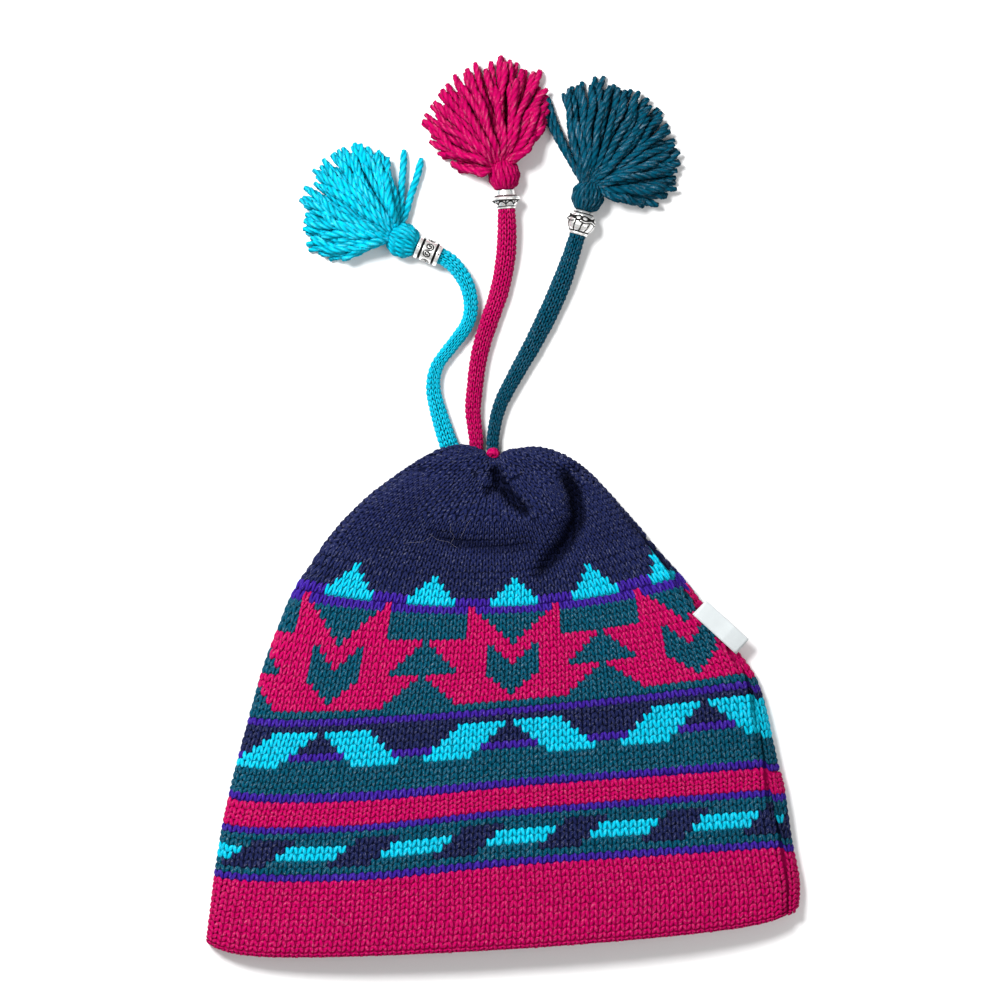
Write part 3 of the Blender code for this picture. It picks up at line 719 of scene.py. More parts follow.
def leg_template(side, sides):
    """One leg of a stitch as a closed spindle: points in shares of the stitch's width and height and in
    metres over the ground, faces, and what the yarn does at each point. side is -1 or 1."""
    knit = settings("beanie_knit")
    foot = np.array([side * LEG_FOOT[0] * STITCH_WIDTH, LEG_FOOT[1] * STITCH_HEIGHT])
    head = np.array([side * LEG_HEAD[0] * STITCH_WIDTH, LEG_HEAD[1] * STITCH_HEIGHT])
    way = unit(head - foot)
    aside = np.array([way[1], -way[0]])
    angles = 2 * math.pi * (np.arange(sides) + 0.5) / sides - math.pi / 2
    points, yarn = [(*foot, 0.0)], [(0.0, 0.5, TIP_PAINTED_LIGHT)]
    for along, wide, high in LEG_RINGS:
        middle = foot + (head - foot) * along
        for number, angle in enumerate(angles):
            out = knit.leg_width / 2 * STITCH_WIDTH * wide * math.cos(angle)
            up = knit.leg_thickness / 2 * wide * math.sin(angle)
            points.append((*(middle + aside * out), LEG_LIFT * high + up))
            # The third number is the painted light round the leg: full on its top, none underneath
            yarn.append((along, number / sides, (1 + math.sin(angle)) / 2))
    points.append((*head, 0.0))
    yarn.append((1.0, 0.5, TIP_PAINTED_LIGHT))
    rings = len(LEG_RINGS)
    quads = grid_faces(rings, sides) + 1
    caps = np.concatenate([
        fan_faces(1, sides, 0, False),
        fan_faces(1 + (rings - 1) * sides, sides, rings * sides + 1, True),
    ])
    shares = np.array(points) / (STITCH_WIDTH, STITCH_HEIGHT, 1.0)
    return shares, caps, quads, np.array(yarn)


def fold_light(points):
    """How much painted light the painted shadows of the front's folds leave at points of it."""
    dark = np.zeros(len(points))
    for crease in FOLDS:
        if crease.lift < 0:
            distance, along = nearest_on_line(points[:, 0], points[:, 1], crease.line)
            far = distance / (SHADOW_REACH * crease.spread * HAT_LENGTH)
            lasting = 1 - np.abs(2 * along - 1) ** SHADOW_END_POWER
            dark = dark + crease.lift / DEEPEST_FOLD * np.exp(-far * far) * lasting
    return 1 - np.clip(dark, 0.0, 1.0)


def add_stitches(
    shape, middles, across, upward, outward, looks, sides, chance, soft=STITCH_GAP_LIGHT, lit=1.0, folded=False
):
    """Adds a stitch at each middle, spanned by its vectors across and upward, on the given outward side.

    Its last three settings are the painted light left in the gaps between stitches, what the seam's painted
    shade leaves of the painted light at each stitch, and whether the painted shadows of the front's folds
    darken it."""
    count = len(middles)
    if not count:
        return
    uneven = settings("beanie_knit").unevenness
    for side in (-1, 1):
        shares, caps, quads, yarn = leg_template(side, sides)
        size = 1 + uneven * chance.normal(size=(count, 3)) * UNEVEN_SIZE
        drift = uneven * chance.normal(size=(count, 3)) * UNEVEN_PLACE
        local = shares[None] * size[:, None] + drift[:, None] * (1, 1, 0)
        points = (
            middles[:, None]
            + local[..., 0:1] * across[:, None]
            + local[..., 1:2] * upward[:, None]
            + local[..., 2:3] * outward[:, None]
        )
        each = len(shares)
        start = (np.arange(count) * each)[:, None, None]
        own = np.repeat(chance.random(count), each)
        every_yarn = np.tile(yarn, (count, 1))
        strand = np.column_stack([every_yarn[:, :2], own])
        every_look = np.broadcast_to(looks, count)
        groups = [
            ((faces[None] + start).reshape(-1, faces.shape[1]), np.repeat(every_look, len(faces)))
            for faces in (caps, quads)
        ]
        crest = (soft + (1 - soft) * every_yarn[:, 2]) * np.repeat(np.broadcast_to(lit, count), each)
        if folded:
            crest = crest * fold_light(points.reshape(-1, 3))
        shape.add(points, groups, strand, crest)


def add_tube(
    shape, path, radii, sides, plies=0, valley=0.0, twist_length=1.0, own=0.0, soft=0.0, low_limit=None
):
    """Adds a closed tube along a path. With plies it has that many strands twisted round each other."""
    path = np.asarray(path, float)
    ways, across, up = frames_along(path)
    run = run_along(path)
    turned = 2 * math.pi * run / twist_length if plies else np.zeros(len(path))
    angles = 2 * math.pi * np.arange(sides) / sides
    ply = np.where(np.arange(sides) % (sides // plies) == 0, valley, 1.0) if plies else np.ones(sides)
    phase = turned[:, None] + angles[None]
    out = np.cos(phase)[..., None] * across[:, None] + np.sin(phase)[..., None] * up[:, None]
    points = path[:, None] + out * (np.asarray(radii)[:, None] * ply[None])[..., None]
    if low_limit is not None:
        points[..., 2] = np.maximum(points[..., 2], low_limit)
    rings = len(path)
    ends = np.stack([
        path[0] - ways[0] * radii[0] * TUBE_END, path[-1] + ways[-1] * radii[-1] * TUBE_END,
    ])
    yarn = np.stack([
        np.repeat(run / twist_length if plies else run / STITCH_HEIGHT, sides),
        np.tile(np.arange(sides) / sides, rings),
        np.full(rings * sides, own),
    ], axis=1)
    yarn = np.concatenate([yarn, [[0.0, 0.5, own], [run[-1] / STITCH_HEIGHT, 0.5, own]]])
    # Painted light: full on the plies and lower in the painted shade of the valleys between them
    crest = np.concatenate([np.tile(soft + (1 - soft) * (ply > valley), rings), [TIP_PAINTED_LIGHT, TIP_PAINTED_LIGHT]])
    shape.add(np.concatenate([points.reshape(-1, 3), ends]), tube_faces(rings, sides, 0), yarn, crest)


# Materials


class Value:
    """A socket that takes part in sums: an expression on values adds the Math nodes that it needs."""

    def __init__(self, tree, socket):
        self.tree, self.socket = tree, socket

    def maths(self, operation, *others):
        node = self.tree.nodes.new("ShaderNodeMath")
        node.operation = operation
        for slot, value in zip(node.inputs, others):
            if isinstance(value, Value):
                self.tree.links.new(value.socket, slot)
            else:
                slot.default_value = value
        return Value(self.tree, node.outputs[0])

    def __add__(self, other):
        return self.maths("ADD", self, other)

    def __radd__(self, other):
        return self.maths("ADD", other, self)

    def __sub__(self, other):
        return self.maths("SUBTRACT", self, other)

    def __rsub__(self, other):
        return self.maths("SUBTRACT", other, self)

    def __mul__(self, other):
        return self.maths("MULTIPLY", self, other)

    def __rmul__(self, other):
        return self.maths("MULTIPLY", other, self)

    def __truediv__(self, other):
        return self.maths("DIVIDE", self, other)

    def __pow__(self, other):
        return self.maths("POWER", self, other)

    def sine(self):
        return self.maths("SINE", self)

    def size(self):
        return self.maths("ABSOLUTE", self)

    def kept(self):
        """The value held between 0 and 1."""
        return self.maths("MINIMUM", self.maths("MAXIMUM", self, 0.0), 1.0)


class Finish:
    """A material with one Principled shader, made node by node."""

    def __init__(self, name, constants):
        self.look = bpy.data.materials.new(name)
        self.look.use_nodes = True
        self.tree = self.look.node_tree
        self.shader = self.tree.nodes["Principled BSDF"]
        for socket, value in constants.items():
            self.shader.inputs[socket].default_value = value

    def node(self, kind, settings_first, sockets, output=0):
        """Adds a node: its settings first, then the values or links of its sockets."""
        node = self.tree.nodes.new(kind)
        for setting, value in settings_first.items():
            setattr(node, setting, value)
        for socket, value in sockets.items():
            if isinstance(value, Value):
                self.tree.links.new(value.socket, node.inputs[socket])
            else:
                node.inputs[socket].default_value = value
        return Value(self.tree, node.outputs[output])

    def feed(self, socket, value):
        self.tree.links.new(value.socket, self.shader.inputs[socket])

    def mixed(self, factor, first, second):
        """A colour between two others."""
        return self.node("ShaderNodeMix", {"data_type": "RGBA"}, {0: factor, 6: first, 7: second}, output=2)

    def parts(self, vector):
        """The three numbers of a vector."""
        node = self.tree.nodes.new("ShaderNodeSeparateXYZ")
        self.tree.links.new(vector.socket, node.inputs[0])
        return [Value(self.tree, output) for output in node.outputs]

    def joined(self, x, y, z):
        return self.node("ShaderNodeCombineXYZ", {}, {0: x, 1: y, 2: z})

    def strand(self):
        """What the yarn does here: along, round and chance."""
        return self.parts(self.node("ShaderNodeAttribute", {"attribute_name": "yarn"}, {}, output="Vector"))

    def crest(self):
        """The painted light here: a painted highlight on the top of a strand, painted shade in its gaps and
        shadows.
        """
        return self.node("ShaderNodeAttribute", {"attribute_name": "crest"}, {}, output="Fac")

    def noise(self, vector, scale, detail=2.0):
        return self.node("ShaderNodeTexNoise", {}, {"Vector": vector, "Scale": scale, "Detail": detail})

    def bump(self, height, distance, strength):
        sockets = {"Height": height, "Distance": distance, "Strength": strength}
        self.feed("Normal", self.node("ShaderNodeBump", {}, sockets, output="Normal"))

    def place(self):
        """The place of each point in the object's own metres."""
        return self.node("ShaderNodeTexCoord", {}, {}, output="Object")


def shade(colour, factor):
    return (*(min(channel * factor, 1.0) for channel in colour), 1.0)


def lighter(colour, amount):
    return (*(channel + (1.0 - channel) * amount for channel in colour), 1.0)


# How each yarn looks: how dark the painted shade in its gaps is, how pale its painted glints are
# and how many there are
Yarn = namedtuple("Yarn", "gap pale glint")
YARNS = {
    "pink": Yarn(0.60, 0.13, 0.8),
    "turquoise": Yarn(0.30, 0.18, 0.6),
    "teal": Yarn(0.22, 0.20, 0.7),
    "violet": Yarn(0.26, 0.14, 0.6),
    "navy": Yarn(0.08, 0.12, 0.9),
}
PLY_TURNS = 2
FIBRE_BUMP = 0.00012


def yarn_finish(name):
    """Wool: plied, with painted shade between its strands and a painted highlight and glints on top."""
    if name in bpy.data.materials:
        return bpy.data.materials[name]
    yarn, colour = YARNS[name], tuple(getattr(settings("beanie_yarns"), name))
    finish = Finish(name, {
        "Roughness": 0.75,
        "Specular IOR Level": 0.03,
        "Sheen Weight": 0.015,
        "Sheen Roughness": 0.4,
        "Sheen Tint": lighter(colour, 0.2),
    })
    along, around, chance = finish.strand()
    crest = finish.crest()
    twist = ((along * PLY_TURNS + around) * (2 * math.pi)).sine()
    place = finish.place()
    fuzz = finish.noise(place, 2600.0, 2.0)
    patch = finish.noise(place, 60.0, 2.0)
    fibres = finish.joined(along * 2.5 + chance * 40.0, around * 11.0 + along * 5.0, chance * 90.0)
    streaks = finish.noise(fibres, 1.0, 3.0)
    # The first term paints shade in the gaps and a highlight on the tops; the rest is the yarn's own tone
    light = (
        crest**1.2 * 0.80 + twist * 0.05 + (streaks - 0.5) * 0.8
        + (chance - 0.5) * 0.14 + (patch - 0.5) * 0.3
    )
    tone = finish.mixed((light + 0.04).kept(), shade(colour, yarn.gap), shade(colour, 1.25))
    # Painted glints: pale specks on the tops of the strands, where light would catch loose fibres
    painted_glint = ((streaks + fuzz * 0.7 - 0.93) * 5.0).kept() * crest * yarn.glint
    tone = finish.mixed(painted_glint.kept(), tone, lighter(colour, yarn.pale))
    finish.feed("Base Color", tone)
    finish.bump(twist * 0.3 + streaks * 0.9 + fuzz * 0.5, FIBRE_BUMP, 0.9)
    return finish.look


def fibre_finish():
    """A fine hair, pale in some stretches and darker in others."""
    finish = Finish("pale_fibre", {"Specular IOR Level": 0.3})
    place = finish.place()
    patch = finish.noise(place, 300.0, 2.0)
    finish.feed("Base Color", finish.mixed(patch, (0.10, 0.10, 0.16, 1.0), (0.30, 0.28, 0.30, 1.0)))
    finish.feed("Roughness", (patch * 0.2 + 0.5).kept())
    return finish.look


def knit_looks():
    """The five yarns of the knit, in the order of the chart's colours."""
    return [yarn_finish(name) for name in YARNS]


def silver_finish():
    beads = settings("beanie_beads")
    finish = Finish("engraved_silver", {"Metallic": 0.8, "IOR": 1.5})
    cut = finish.strand()[0]
    place = finish.place()
    scuffs = finish.noise(place, 1400.0, 4.0)
    stain = finish.noise(place, 420.0, 3.0)
    dark = ((cut - 0.15) * 4.0 + (stain * 1.6 - 0.95).kept() * 0.3).kept()
    finish.feed("Base Color", finish.mixed(dark, shade(beads.silver, 1.0), shade(beads.tarnish, 1.0)))
    finish.feed("Roughness", (scuffs * 0.25 + 0.16 + dark * 0.4).kept())
    finish.bump(scuffs, 0.00003, 0.6)
    return finish.look


# Threads across and along the ribbon, and where its edges start, which are woven denser and
# coloured a little darker
WARP_THREADS, WEFT_THREADS, DENSE_EDGE = 26, 70, 0.88


def satin_finish():
    satin = settings("beanie_label").satin
    finish = Finish("white_satin_ribbon", {"Sheen Weight": 0.2, "Specular IOR Level": 0.5})
    along, across = finish.strand()[:2]
    warp = (across * (2 * math.pi * WARP_THREADS)).sine()
    weft = (along * (2 * math.pi * WEFT_THREADS)).sine()
    outwards = (across - 0.5).size() * 2
    edge = outwards.maths("GREATER_THAN", outwards, DENSE_EDGE)
    cloud = finish.noise(finish.place(), 180.0, 2.0)
    tint = (cloud * 0.8 + edge * 0.25).kept()
    finish.feed("Base Color", finish.mixed(tint, shade(satin, 1.04), shade(satin, 0.88)))
    finish.feed("Roughness", (0.42 + weft * 0.06 + edge * 0.2).kept())
    finish.bump(warp * 0.5 + weft * 0.5 + edge * 1.5, 0.00005, 0.7)
    return finish.look


def floor_finish():
    finish = Finish("pale_floor", {"Roughness": 0.9, "Specular IOR Level": 0.1})
    place = finish.place()
    grain = finish.noise(place, 900.0, 2.0)
    floor = settings("beanie_stage").floor
    finish.feed("Base Color", finish.mixed(grain, shade(floor, 1.0), shade(floor, 0.98)))
    return finish.look


# Stage

# The lamps: size, place, and power as a share of the main lamp's
Lamp = namedtuple("Lamp", "size place power")
LAMPS = {
    "main_light": Lamp(0.40, (-0.45, 0.55, 0.90), 1.0),
    "fill_light": Lamp(1.2, (0.7, -0.3, 1.1), 0.30),
}
SKY_STRENGTH = 0.36
FLOOR_REACH = 4.0
CAMERA_REACH = 20.0


class BEANIE_OT_stage(bpy.types.Operator):
    """Sets the camera straight above the hat, soft light and a pale floor"""

    bl_idname = "beanie.stage"
    bl_label = "Stage"

    def execute(self, context):
        stage = settings("beanie_stage")
        data = bpy.data.cameras.new("camera")
        data.lens = stage.lens
        camera = bpy.data.objects.new("camera", data)
        distance = VIEW_WIDTH * data.lens / data.sensor_width
        camera.location = (*VIEW_CENTRE, VIEW_HEIGHT + distance)
        data.clip_end = CAMERA_REACH
        context.scene.collection.objects.link(camera)
        context.scene.camera = camera
        context.scene.view_settings.view_transform = "Standard"
        for name, lamp in LAMPS.items():
            self.light(context, name, stage.light_power * lamp.power, lamp.size, lamp.place)
        world = bpy.data.worlds.new("studio")
        world.use_nodes = True
        sky = world.node_tree.nodes["Background"]
        sky.inputs["Color"].default_value = (1.0, 1.0, 1.0, 1.0)
        sky.inputs["Strength"].default_value = SKY_STRENGTH
        context.scene.world = world
        mesh = bpy.data.meshes.new("floor")
        corners = [(x * FLOOR_REACH, y * FLOOR_REACH, 0.0) for x, y in ((-1, -1), (1, -1), (1, 1), (-1, 1))]
        mesh.from_pydata(corners, [], [(0, 1, 2, 3)])
        mesh.materials.append(floor_finish())
        floor = bpy.data.objects.new("floor", mesh)
        context.scene.collection.objects.link(floor)
        return {"FINISHED"}

    def light(self, context, name, power, size, place):
        data = bpy.data.lights.new(name, "AREA")
        data.shape = "DISK"
        data.energy, data.size = power, size
        lamp = bpy.data.objects.new(name, data)
        lamp.location = place
        aim = Vector((*VIEW_CENTRE, 0.0)) - Vector(place)
        lamp.rotation_euler = aim.to_track_quat("-Z", "Y").to_euler()
        context.scene.collection.objects.link(lamp)


# Cords

# A cord's core and the ground of its stitches as shares of its thickness, and the stitches' breadth as a
# share of what would just close the round
CORE_SIDES, CORE_SHARE, GROUND_SHARE, BREADTH_SHARE = 12, 0.80, 0.86, 0.95
# How far a cord's stitches stand out, and the painted light left in the gaps between them
CORD_RELIEF, CORD_GAP_LIGHT = 0.85, 0.30
Cord = namedtuple("Cord", "route swell")
CORDS = {
    "turquoise": Cord(TURQUOISE_ROUTE, TURQUOISE_SWELL),
    "pink": Cord(PINK_ROUTE, PINK_SWELL),
    "teal": Cord(TEAL_ROUTE, TEAL_SWELL),
}


def bead_height():
    return max(BARREL_DIAMETER, SAUCER_DIAMETER, ROUND_DIAMETER, TASSEL_HEAD) / 2 + CLEARANCE


def cord_points(route):
    """The route's own points as the cord's middle line."""
    gather = (GATHER[0] * HAT_WIDTH, GATHER[1] * HAT_LENGTH)
    low, high = CORD_DIAMETER / 2, bead_height()
    return np.array([(gather[0] + x, gather[1] + y, low + (high - low) * risen) for x, y, risen in route])


def cord_end(route):
    points = cord_points(route)
    return points[-1], unit(points[-1] - points[-2])


class BEANIE_OT_cords(bpy.types.Operator):
    """Knits the three cords: a tube of small stitches along each route"""

    bl_idname = "beanie.cords"
    bl_label = "Knitted cords"

    def execute(self, context):
        for number, (name, cord) in enumerate(CORDS.items()):
            self.knit(name, cord, np.random.default_rng(40 + number))
        return {"FINISHED"}

    def knit(self, name, cord, chance):
        sizes = settings("beanie_cords")
        path = spaced(cord_points(cord.route), sizes.row_height)
        across, up = frames_along(path)[1:]
        share = run_along(path) / run_along(path)[-1]
        wide = sizes.diameter / 2 * read_steps(cord.swell, share)
        high = np.minimum(wide, path[:, 2])

        def line_at(angle, part):
            """The line along the cord at an angle round it and at a share of its thickness."""
            aside = across * (wide * part * math.cos(angle))[:, None]
            return path + aside + up * (high * part * math.sin(angle))[:, None]

        angles = 2 * math.pi * np.arange(CORE_SIDES) / CORE_SIDES
        core = np.stack([line_at(angle, CORE_SHARE) for angle in angles], axis=1)
        core = np.concatenate([core.reshape(-1, 3), [path[0], path[-1]]])
        shape = Shape()
        # The core gets no painted light, so it shows in the full painted shade of the gaps
        shape.add(core, tube_faces(len(path), CORE_SIDES, 0))
        upward = np.gradient(path, axis=0)
        count = sizes.stitches_round
        breadth = (2 * math.pi * BREADTH_SHARE * wide / count)[:, None]
        for column in range(count):
            angle = 2 * math.pi * (column + 0.5) / count
            out = across * math.cos(angle) + up * math.sin(angle)
            girth = (up * math.cos(angle) - across * math.sin(angle)) * breadth
            add_stitches(
                shape, line_at(angle, GROUND_SHARE)[1:-1], -girth[1:-1], upward[1:-1],
                out[1:-1] * CORD_RELIEF, 0, 4, chance, soft=CORD_GAP_LIGHT,
            )
        shape.piece(f"cord_{name}_knit", [yarn_finish(name)], f"cord_{name}", f"{name}_yarn")


def declare_cords():
    """Spaces the points of each cord's route, and keeps nothing of them."""
    for name, cord in CORDS.items():
        path = spaced(cord_points(cord.route), settings("beanie_cords").row_height)


# The knitted tube

# The fabric: rings of the crown, the last row that the inside shows, the ridges of its purl side with
# their painted highlight, and the painted light left in the gaps between stitches
CROWN_RINGS = 40
LAST_INNER_ROW = 56
PURL_RIDGE, RIDGE_PAINTED_LIGHT = 0.0004, 0.5
GROUND_PAINTED_LIGHT = 0.4
# The turn between the edges of columns that are drawn in at the seam
SEAM_STEP = 0.0001
# The brim: how far its edge and the stitches round it stand out, and the stitches' share of the wall
RIM_STANDS_OUT = 0.0012
RIM_STITCH_OUT = RIM_STANDS_OUT / 4
RIM_SHARE = 0.6
# By how many rows the pattern slips beside the seam, and over how many columns that ends
SLIP, SLIP_REACH = 0.8, 8.0
WIDEST_STITCH = 3.0 / (LAST_COLUMN - FIRST_COLUMN)
FRONT_SIDES, UNDER_SIDES = 6, 4
# The crown: columns, columns in a group that runs together, height of a row, where the rows end, and the
# breadth below which two columns run together and how much it differs from group to group
CROWN_COLUMNS, CROWN_GROUP = 112, 8
CROWN_ROW = 0.0027
CROWN_TOP = len(SECTIONS) - 1.05
LEAST_STITCH, LEAST_DIFFERS = 0.0018, 0.12
CROWN_STATIONS = 240
LAST_LEVEL = 3


class BEANIE_OT_shell(bpy.types.Operator):
    """Makes the fabric behind the stitches: a hollow tube, open at the brim and shut at the gather"""

    bl_idname = "beanie.shell"
    bl_label = "Fabric"

    def execute(self, context):
        knit = settings("beanie_knit")
        columns = np.arange(FIRST_COLUMN, LAST_COLUMN + 2) - 0.5
        rows = np.arange(0, ROW_AT_SECTION[-1] + 1)
        body = place_of_row(rows - 0.5)
        crown = np.linspace(CROWN_PLACE, GATHER_PLACE, CROWN_RINGS)[1:]
        places = np.concatenate([body, crown])
        chart = np.array([[colour_at(row, int(column + 0.5)) for column in columns] for row in rows])
        charted = np.minimum(np.arange(len(places) - 1), len(rows) - 1)
        turns = self.turns(places, columns)
        hung = hung_places(rows[:, None] - 0.5, turns[: len(rows)])
        share = ((crown - crown[0]) / (crown[-1] - crown[0]))[:, None]
        gathered = hung_places(rows[-1], turns[len(rows) :])
        hung = np.concatenate([hung, gathered + share * (crown[-1] - gathered)])
        outer = inside_point(hung, turns, knit.ground_depth)
        # The purl side inside has two rings to a row, one of them on the ridge of its loops
        fine = np.arange(0, 2 * LAST_INNER_ROW) / 2
        inner_turns = self.turns(place_of_row(fine - 0.5), columns)
        inner_places = hung_places(fine[:, None] - 0.5, inner_turns)
        ridge = np.mod(np.arange(len(fine)), 2)[:, None] * np.ones(len(columns))
        inner = inside_point(inner_places, inner_turns, WALL)
        normal = face_normal(inner_places, inner_turns)
        inner = inner - normal * (ridge * PURL_RIDGE)[..., None]
        rim = (outer[0] + inner[0]) / 2 - np.array([0.0, RIM_STANDS_OUT, 0.0])
        rings = np.concatenate([outer[::-1], rim[None], inner])
        looks = np.concatenate([chart[charted][::-1], chart[:1], chart[:1], chart[fine[:-1].astype(int)]])
        # Painted light: the ground shows in painted shade between the stitches, and the purl ridges inside
        # get a painted highlight
        ground = np.full((len(places) + 1, len(columns)), GROUND_PAINTED_LIGHT)
        crest = np.concatenate([ground, GROUND_PAINTED_LIGHT + RIDGE_PAINTED_LIGHT * ridge])
        shape = Shape()
        count = len(columns)
        total = len(rings) * count
        ends = np.stack([rings[0].mean(axis=0), rings[-1].mean(axis=0)])
        caps = np.concatenate([
            fan_faces(0, count, total, True), fan_faces(total - count, count, total + 1, False),
        ])
        faces = grid_faces(len(rings), count)[:, ::-1]
        groups = [(faces, looks.ravel()), (caps, NAVY)]
        crest = np.concatenate([crest.ravel(), [0.0, 0.0]])
        shape.add(np.concatenate([rings.reshape(-1, 3), ends]), groups, crest=crest)
        shape.piece("knit_ground", knit_looks(), "hat_body", "knit_navy")
        return {"FINISHED"}

    def turns(self, places, columns):
        """Turns of the columns' edges at each place. The drawn-in columns stay just short of the seam."""
        found = []
        for place in np.minimum(places, CROWN_PLACE):
            turn = column_turns(place, columns)[0]
            limit = seam_turn(place) + 2 - SEAM_STEP * (columns[-1] - columns)
            found.append(np.minimum(turn, np.where(columns > 0, limit, np.inf)))
        return np.array(found)


def seam_light(places, turns):
    """How much painted light the painted shadow of the side seam leaves at places of the hat."""
    seam = (np.mod(turns, 2.0) - seam_turn(places)) * half_round(row_width(row_at(places))) / SEAM_SPREAD
    return 1 - SEAM_SHADOW * np.exp(-seam * seam) * seam_lasting(places)


def stitch_frames(places, turns, half_places, half_turns):
    """Middles and vectors of stitches from their places and turns and half their size in both."""
    middles = inside_point(places, turns, settings("beanie_knit").ground_depth)
    higher, lower = np.minimum(places + half_places, GATHER_PLACE), np.maximum(places - half_places, 0.0)
    upward = face_point(higher, turns) - face_point(lower, turns)
    across = face_point(places, turns + half_turns) - face_point(places, turns - half_turns)
    return middles, across, upward, unit(np.cross(across, upward))


class BEANIE_OT_bands(bpy.types.Operator):
    """Knits the charted rows, band by band, from the brim to the top of the peaks"""

    bl_idname = "beanie.bands"
    bl_label = "Charted bands"

    def execute(self, context):
        for number, (name, (first, last)) in enumerate(BANDS.items()):
            chance = np.random.default_rng(7 + number)
            shape = Shape()
            if first == 0:
                self.rim(shape, chance)
            for row in range(first, last + 1):
                self.row(shape, row, chance)
            shape.piece(name, knit_looks(), "hat_body", "knit_navy")
        return {"FINISHED"}

    def rim(self, shape, chance):
        """The row that turns round the brim's edge."""
        turns, shows = column_turns(0.0, np.arange(FIRST_COLUMN, LAST_COLUMN + 1))
        turns = turns[shows]
        half_turn = 1.0 / len(turns)
        edge = np.zeros(len(turns))
        down = unit(face_point(edge, turns) - face_point(edge + PLACE_STEP, turns))
        middles = inside_point(edge, turns, WALL * RIM_SHARE) + down * RIM_STITCH_OUT
        across = face_point(edge, turns + half_turn) - face_point(edge, turns - half_turn)
        over = face_normal(edge, turns) * WALL * RIM_SHARE
        add_stitches(shape, middles, across, over, down, PINK, UNDER_SIDES, chance)

    def row(self, shape, row, chance):
        columns = np.arange(FIRST_COLUMN, LAST_COLUMN + 1)
        settled = np.exp(-(((columns - FIRST_COLUMN) / SLIP_REACH) ** 2))
        place = place_of_row(row)
        turns, shows = column_turns(place, columns)
        edges = column_turns(place, columns + 0.5)[0] - column_turns(place, columns - 0.5)[0]
        half_turns = np.clip(edges, 0.0, WIDEST_STITCH) / 2
        half_places = (hung_places(row + 0.5, turns) - hung_places(row - 0.5, turns)) / 2
        # The lowest row starts at the brim, so only its upper half was measured
        if row == 0:
            half_places = half_places * 2
        places = np.maximum(hung_places(row, turns) - settled * SLIP * 2 * half_places, 0.0)
        looks = np.array([colour_at(row, int(column)) for column in columns])
        middles, across, upward, outward = stitch_frames(places, turns, half_places, half_turns)
        front = np.mod(turns, 2.0) < 1.0
        lit = seam_light(places, turns)
        for chosen, sides in ((front & shows, FRONT_SIDES), (~front & shows, UNDER_SIDES)):
            vectors = middles[chosen], across[chosen], upward[chosen], outward[chosen]
            add_stitches(
                shape, *vectors, looks[chosen], sides, chance, lit=lit[chosen], folded=sides == FRONT_SIDES
            )


class BEANIE_OT_crown(bpy.types.Operator):
    """Knits the plain crown: rows keep their height, and columns run together towards the gather"""

    bl_idname = "beanie.crown"
    bl_label = "Crown"

    def execute(self, context):
        chance = np.random.default_rng(23)
        shape = Shape()
        front = np.arange(LEFT_TURN_COLUMN, REPEAT + 1)
        front_turns = column_turns(CROWN_PLACE, front)[0] - 2.0
        under_count = CROWN_COLUMNS - len(front)
        seam = float(seam_turn(CROWN_PLACE))
        under_turns = np.linspace(seam, 2.0 + front_turns[0], under_count + 2)[1:-1]
        turns = np.concatenate([front_turns, under_turns])
        edges = np.concatenate([turns, [2.0 + turns[0]]])
        edges = (edges + np.concatenate([[turns[-1] - 2.0], turns])) / 2
        for first in range(0, CROWN_COLUMNS, CROWN_GROUP):
            self.group(shape, edges[first : first + CROWN_GROUP + 1], chance)
        shape.piece("knit_crown", [yarn_finish("navy")], "hat_body", "knit_navy")
        return {"FINISHED"}

    def group(self, shape, edges, chance):
        """One group of columns up to the gather. Its columns run together two by two as it narrows."""
        fine = np.linspace(CROWN_PLACE, CROWN_TOP, CROWN_STATIONS)
        left, right = face_point(fine, edges[0]), face_point(fine, edges[-1])
        breadth = np.linalg.norm(right - left, axis=1)
        least = LEAST_STITCH * (1 + LEAST_DIFFERS * chance.random())
        crowded = np.maximum(CROWN_GROUP * least / breadth, 1e-6)
        level_at = np.clip(np.ceil(np.log2(crowded)), 0, LAST_LEVEL)
        for level in range(LAST_LEVEL + 1):
            together = 2**level
            starts, ends = edges[:-1:together], edges[together::together]
            for start, end in zip(starts, ends):
                turn = (start + end) / 2
                run = run_along(face_point(fine, turn))
                run_start = np.interp(hung_places(ROW_AT_SECTION[-1], turn), fine, run)
                heights = run_start + np.arange(1, int((run[-1] - run_start) / CROWN_ROW) + 1) * CROWN_ROW
                places = np.interp(heights, run, fine)
                here = np.interp(places, fine, level_at)
                places = places[np.round(here) == level]
                if not len(places):
                    continue
                half = np.interp(places, fine[1:], np.diff(fine) / np.diff(run)) * CROWN_ROW / 2
                turns = np.full(len(places), turn)
                halves = np.full(len(places), (end - start) / 2)
                middles, across, upward, outward = stitch_frames(places, turns, half, halves)
                on_front = turn % 2.0 < 1.0
                sides = FRONT_SIDES if on_front else UNDER_SIDES
                lit = seam_light(places, turns)
                add_stitches(
                    shape, middles, across, upward, outward, 0, sides, chance, lit=lit, folded=on_front
                )


# Tab, knot, beads and tassels

# The tab's sheet: steps along it, across a layer and round its fold, the wave of its upper layer, and how far
# its lower layer is skewed
LABEL_LONG_STEPS, LABEL_FLAT_STEPS, LABEL_ROUND_STEPS = 36, 9, 7
LABEL_WAVE, LABEL_WAVE_TURN, LABEL_SKEW = 0.00015, 9.0, 0.0008
# The knot's windings: the direction that each leans in, and their shape as shares of the knot's radius
KNOT_LEANS = (0.2, 1.2, 2.2, 2.8)
KNOT_REACH, KNOT_FLATNESS, KNOT_RISE, KNOT_YARN = 0.66, 0.6, 0.45, 0.50
# The knot's ply valleys and twist length, and the painted light left in its valleys
KNOT_VALLEY, KNOT_TWIST, KNOT_GAP_LIGHT = 0.8, 0.007, 0.2
# Plied strands: plies, sides, how deep the valleys between the plies are, and the painted light left in them
PLIES, PLY_SIDES, PLY_VALLEY, PLY_GAP_LIGHT = 3, 9, 0.76, 0.25
MILLIMETRES = 1000


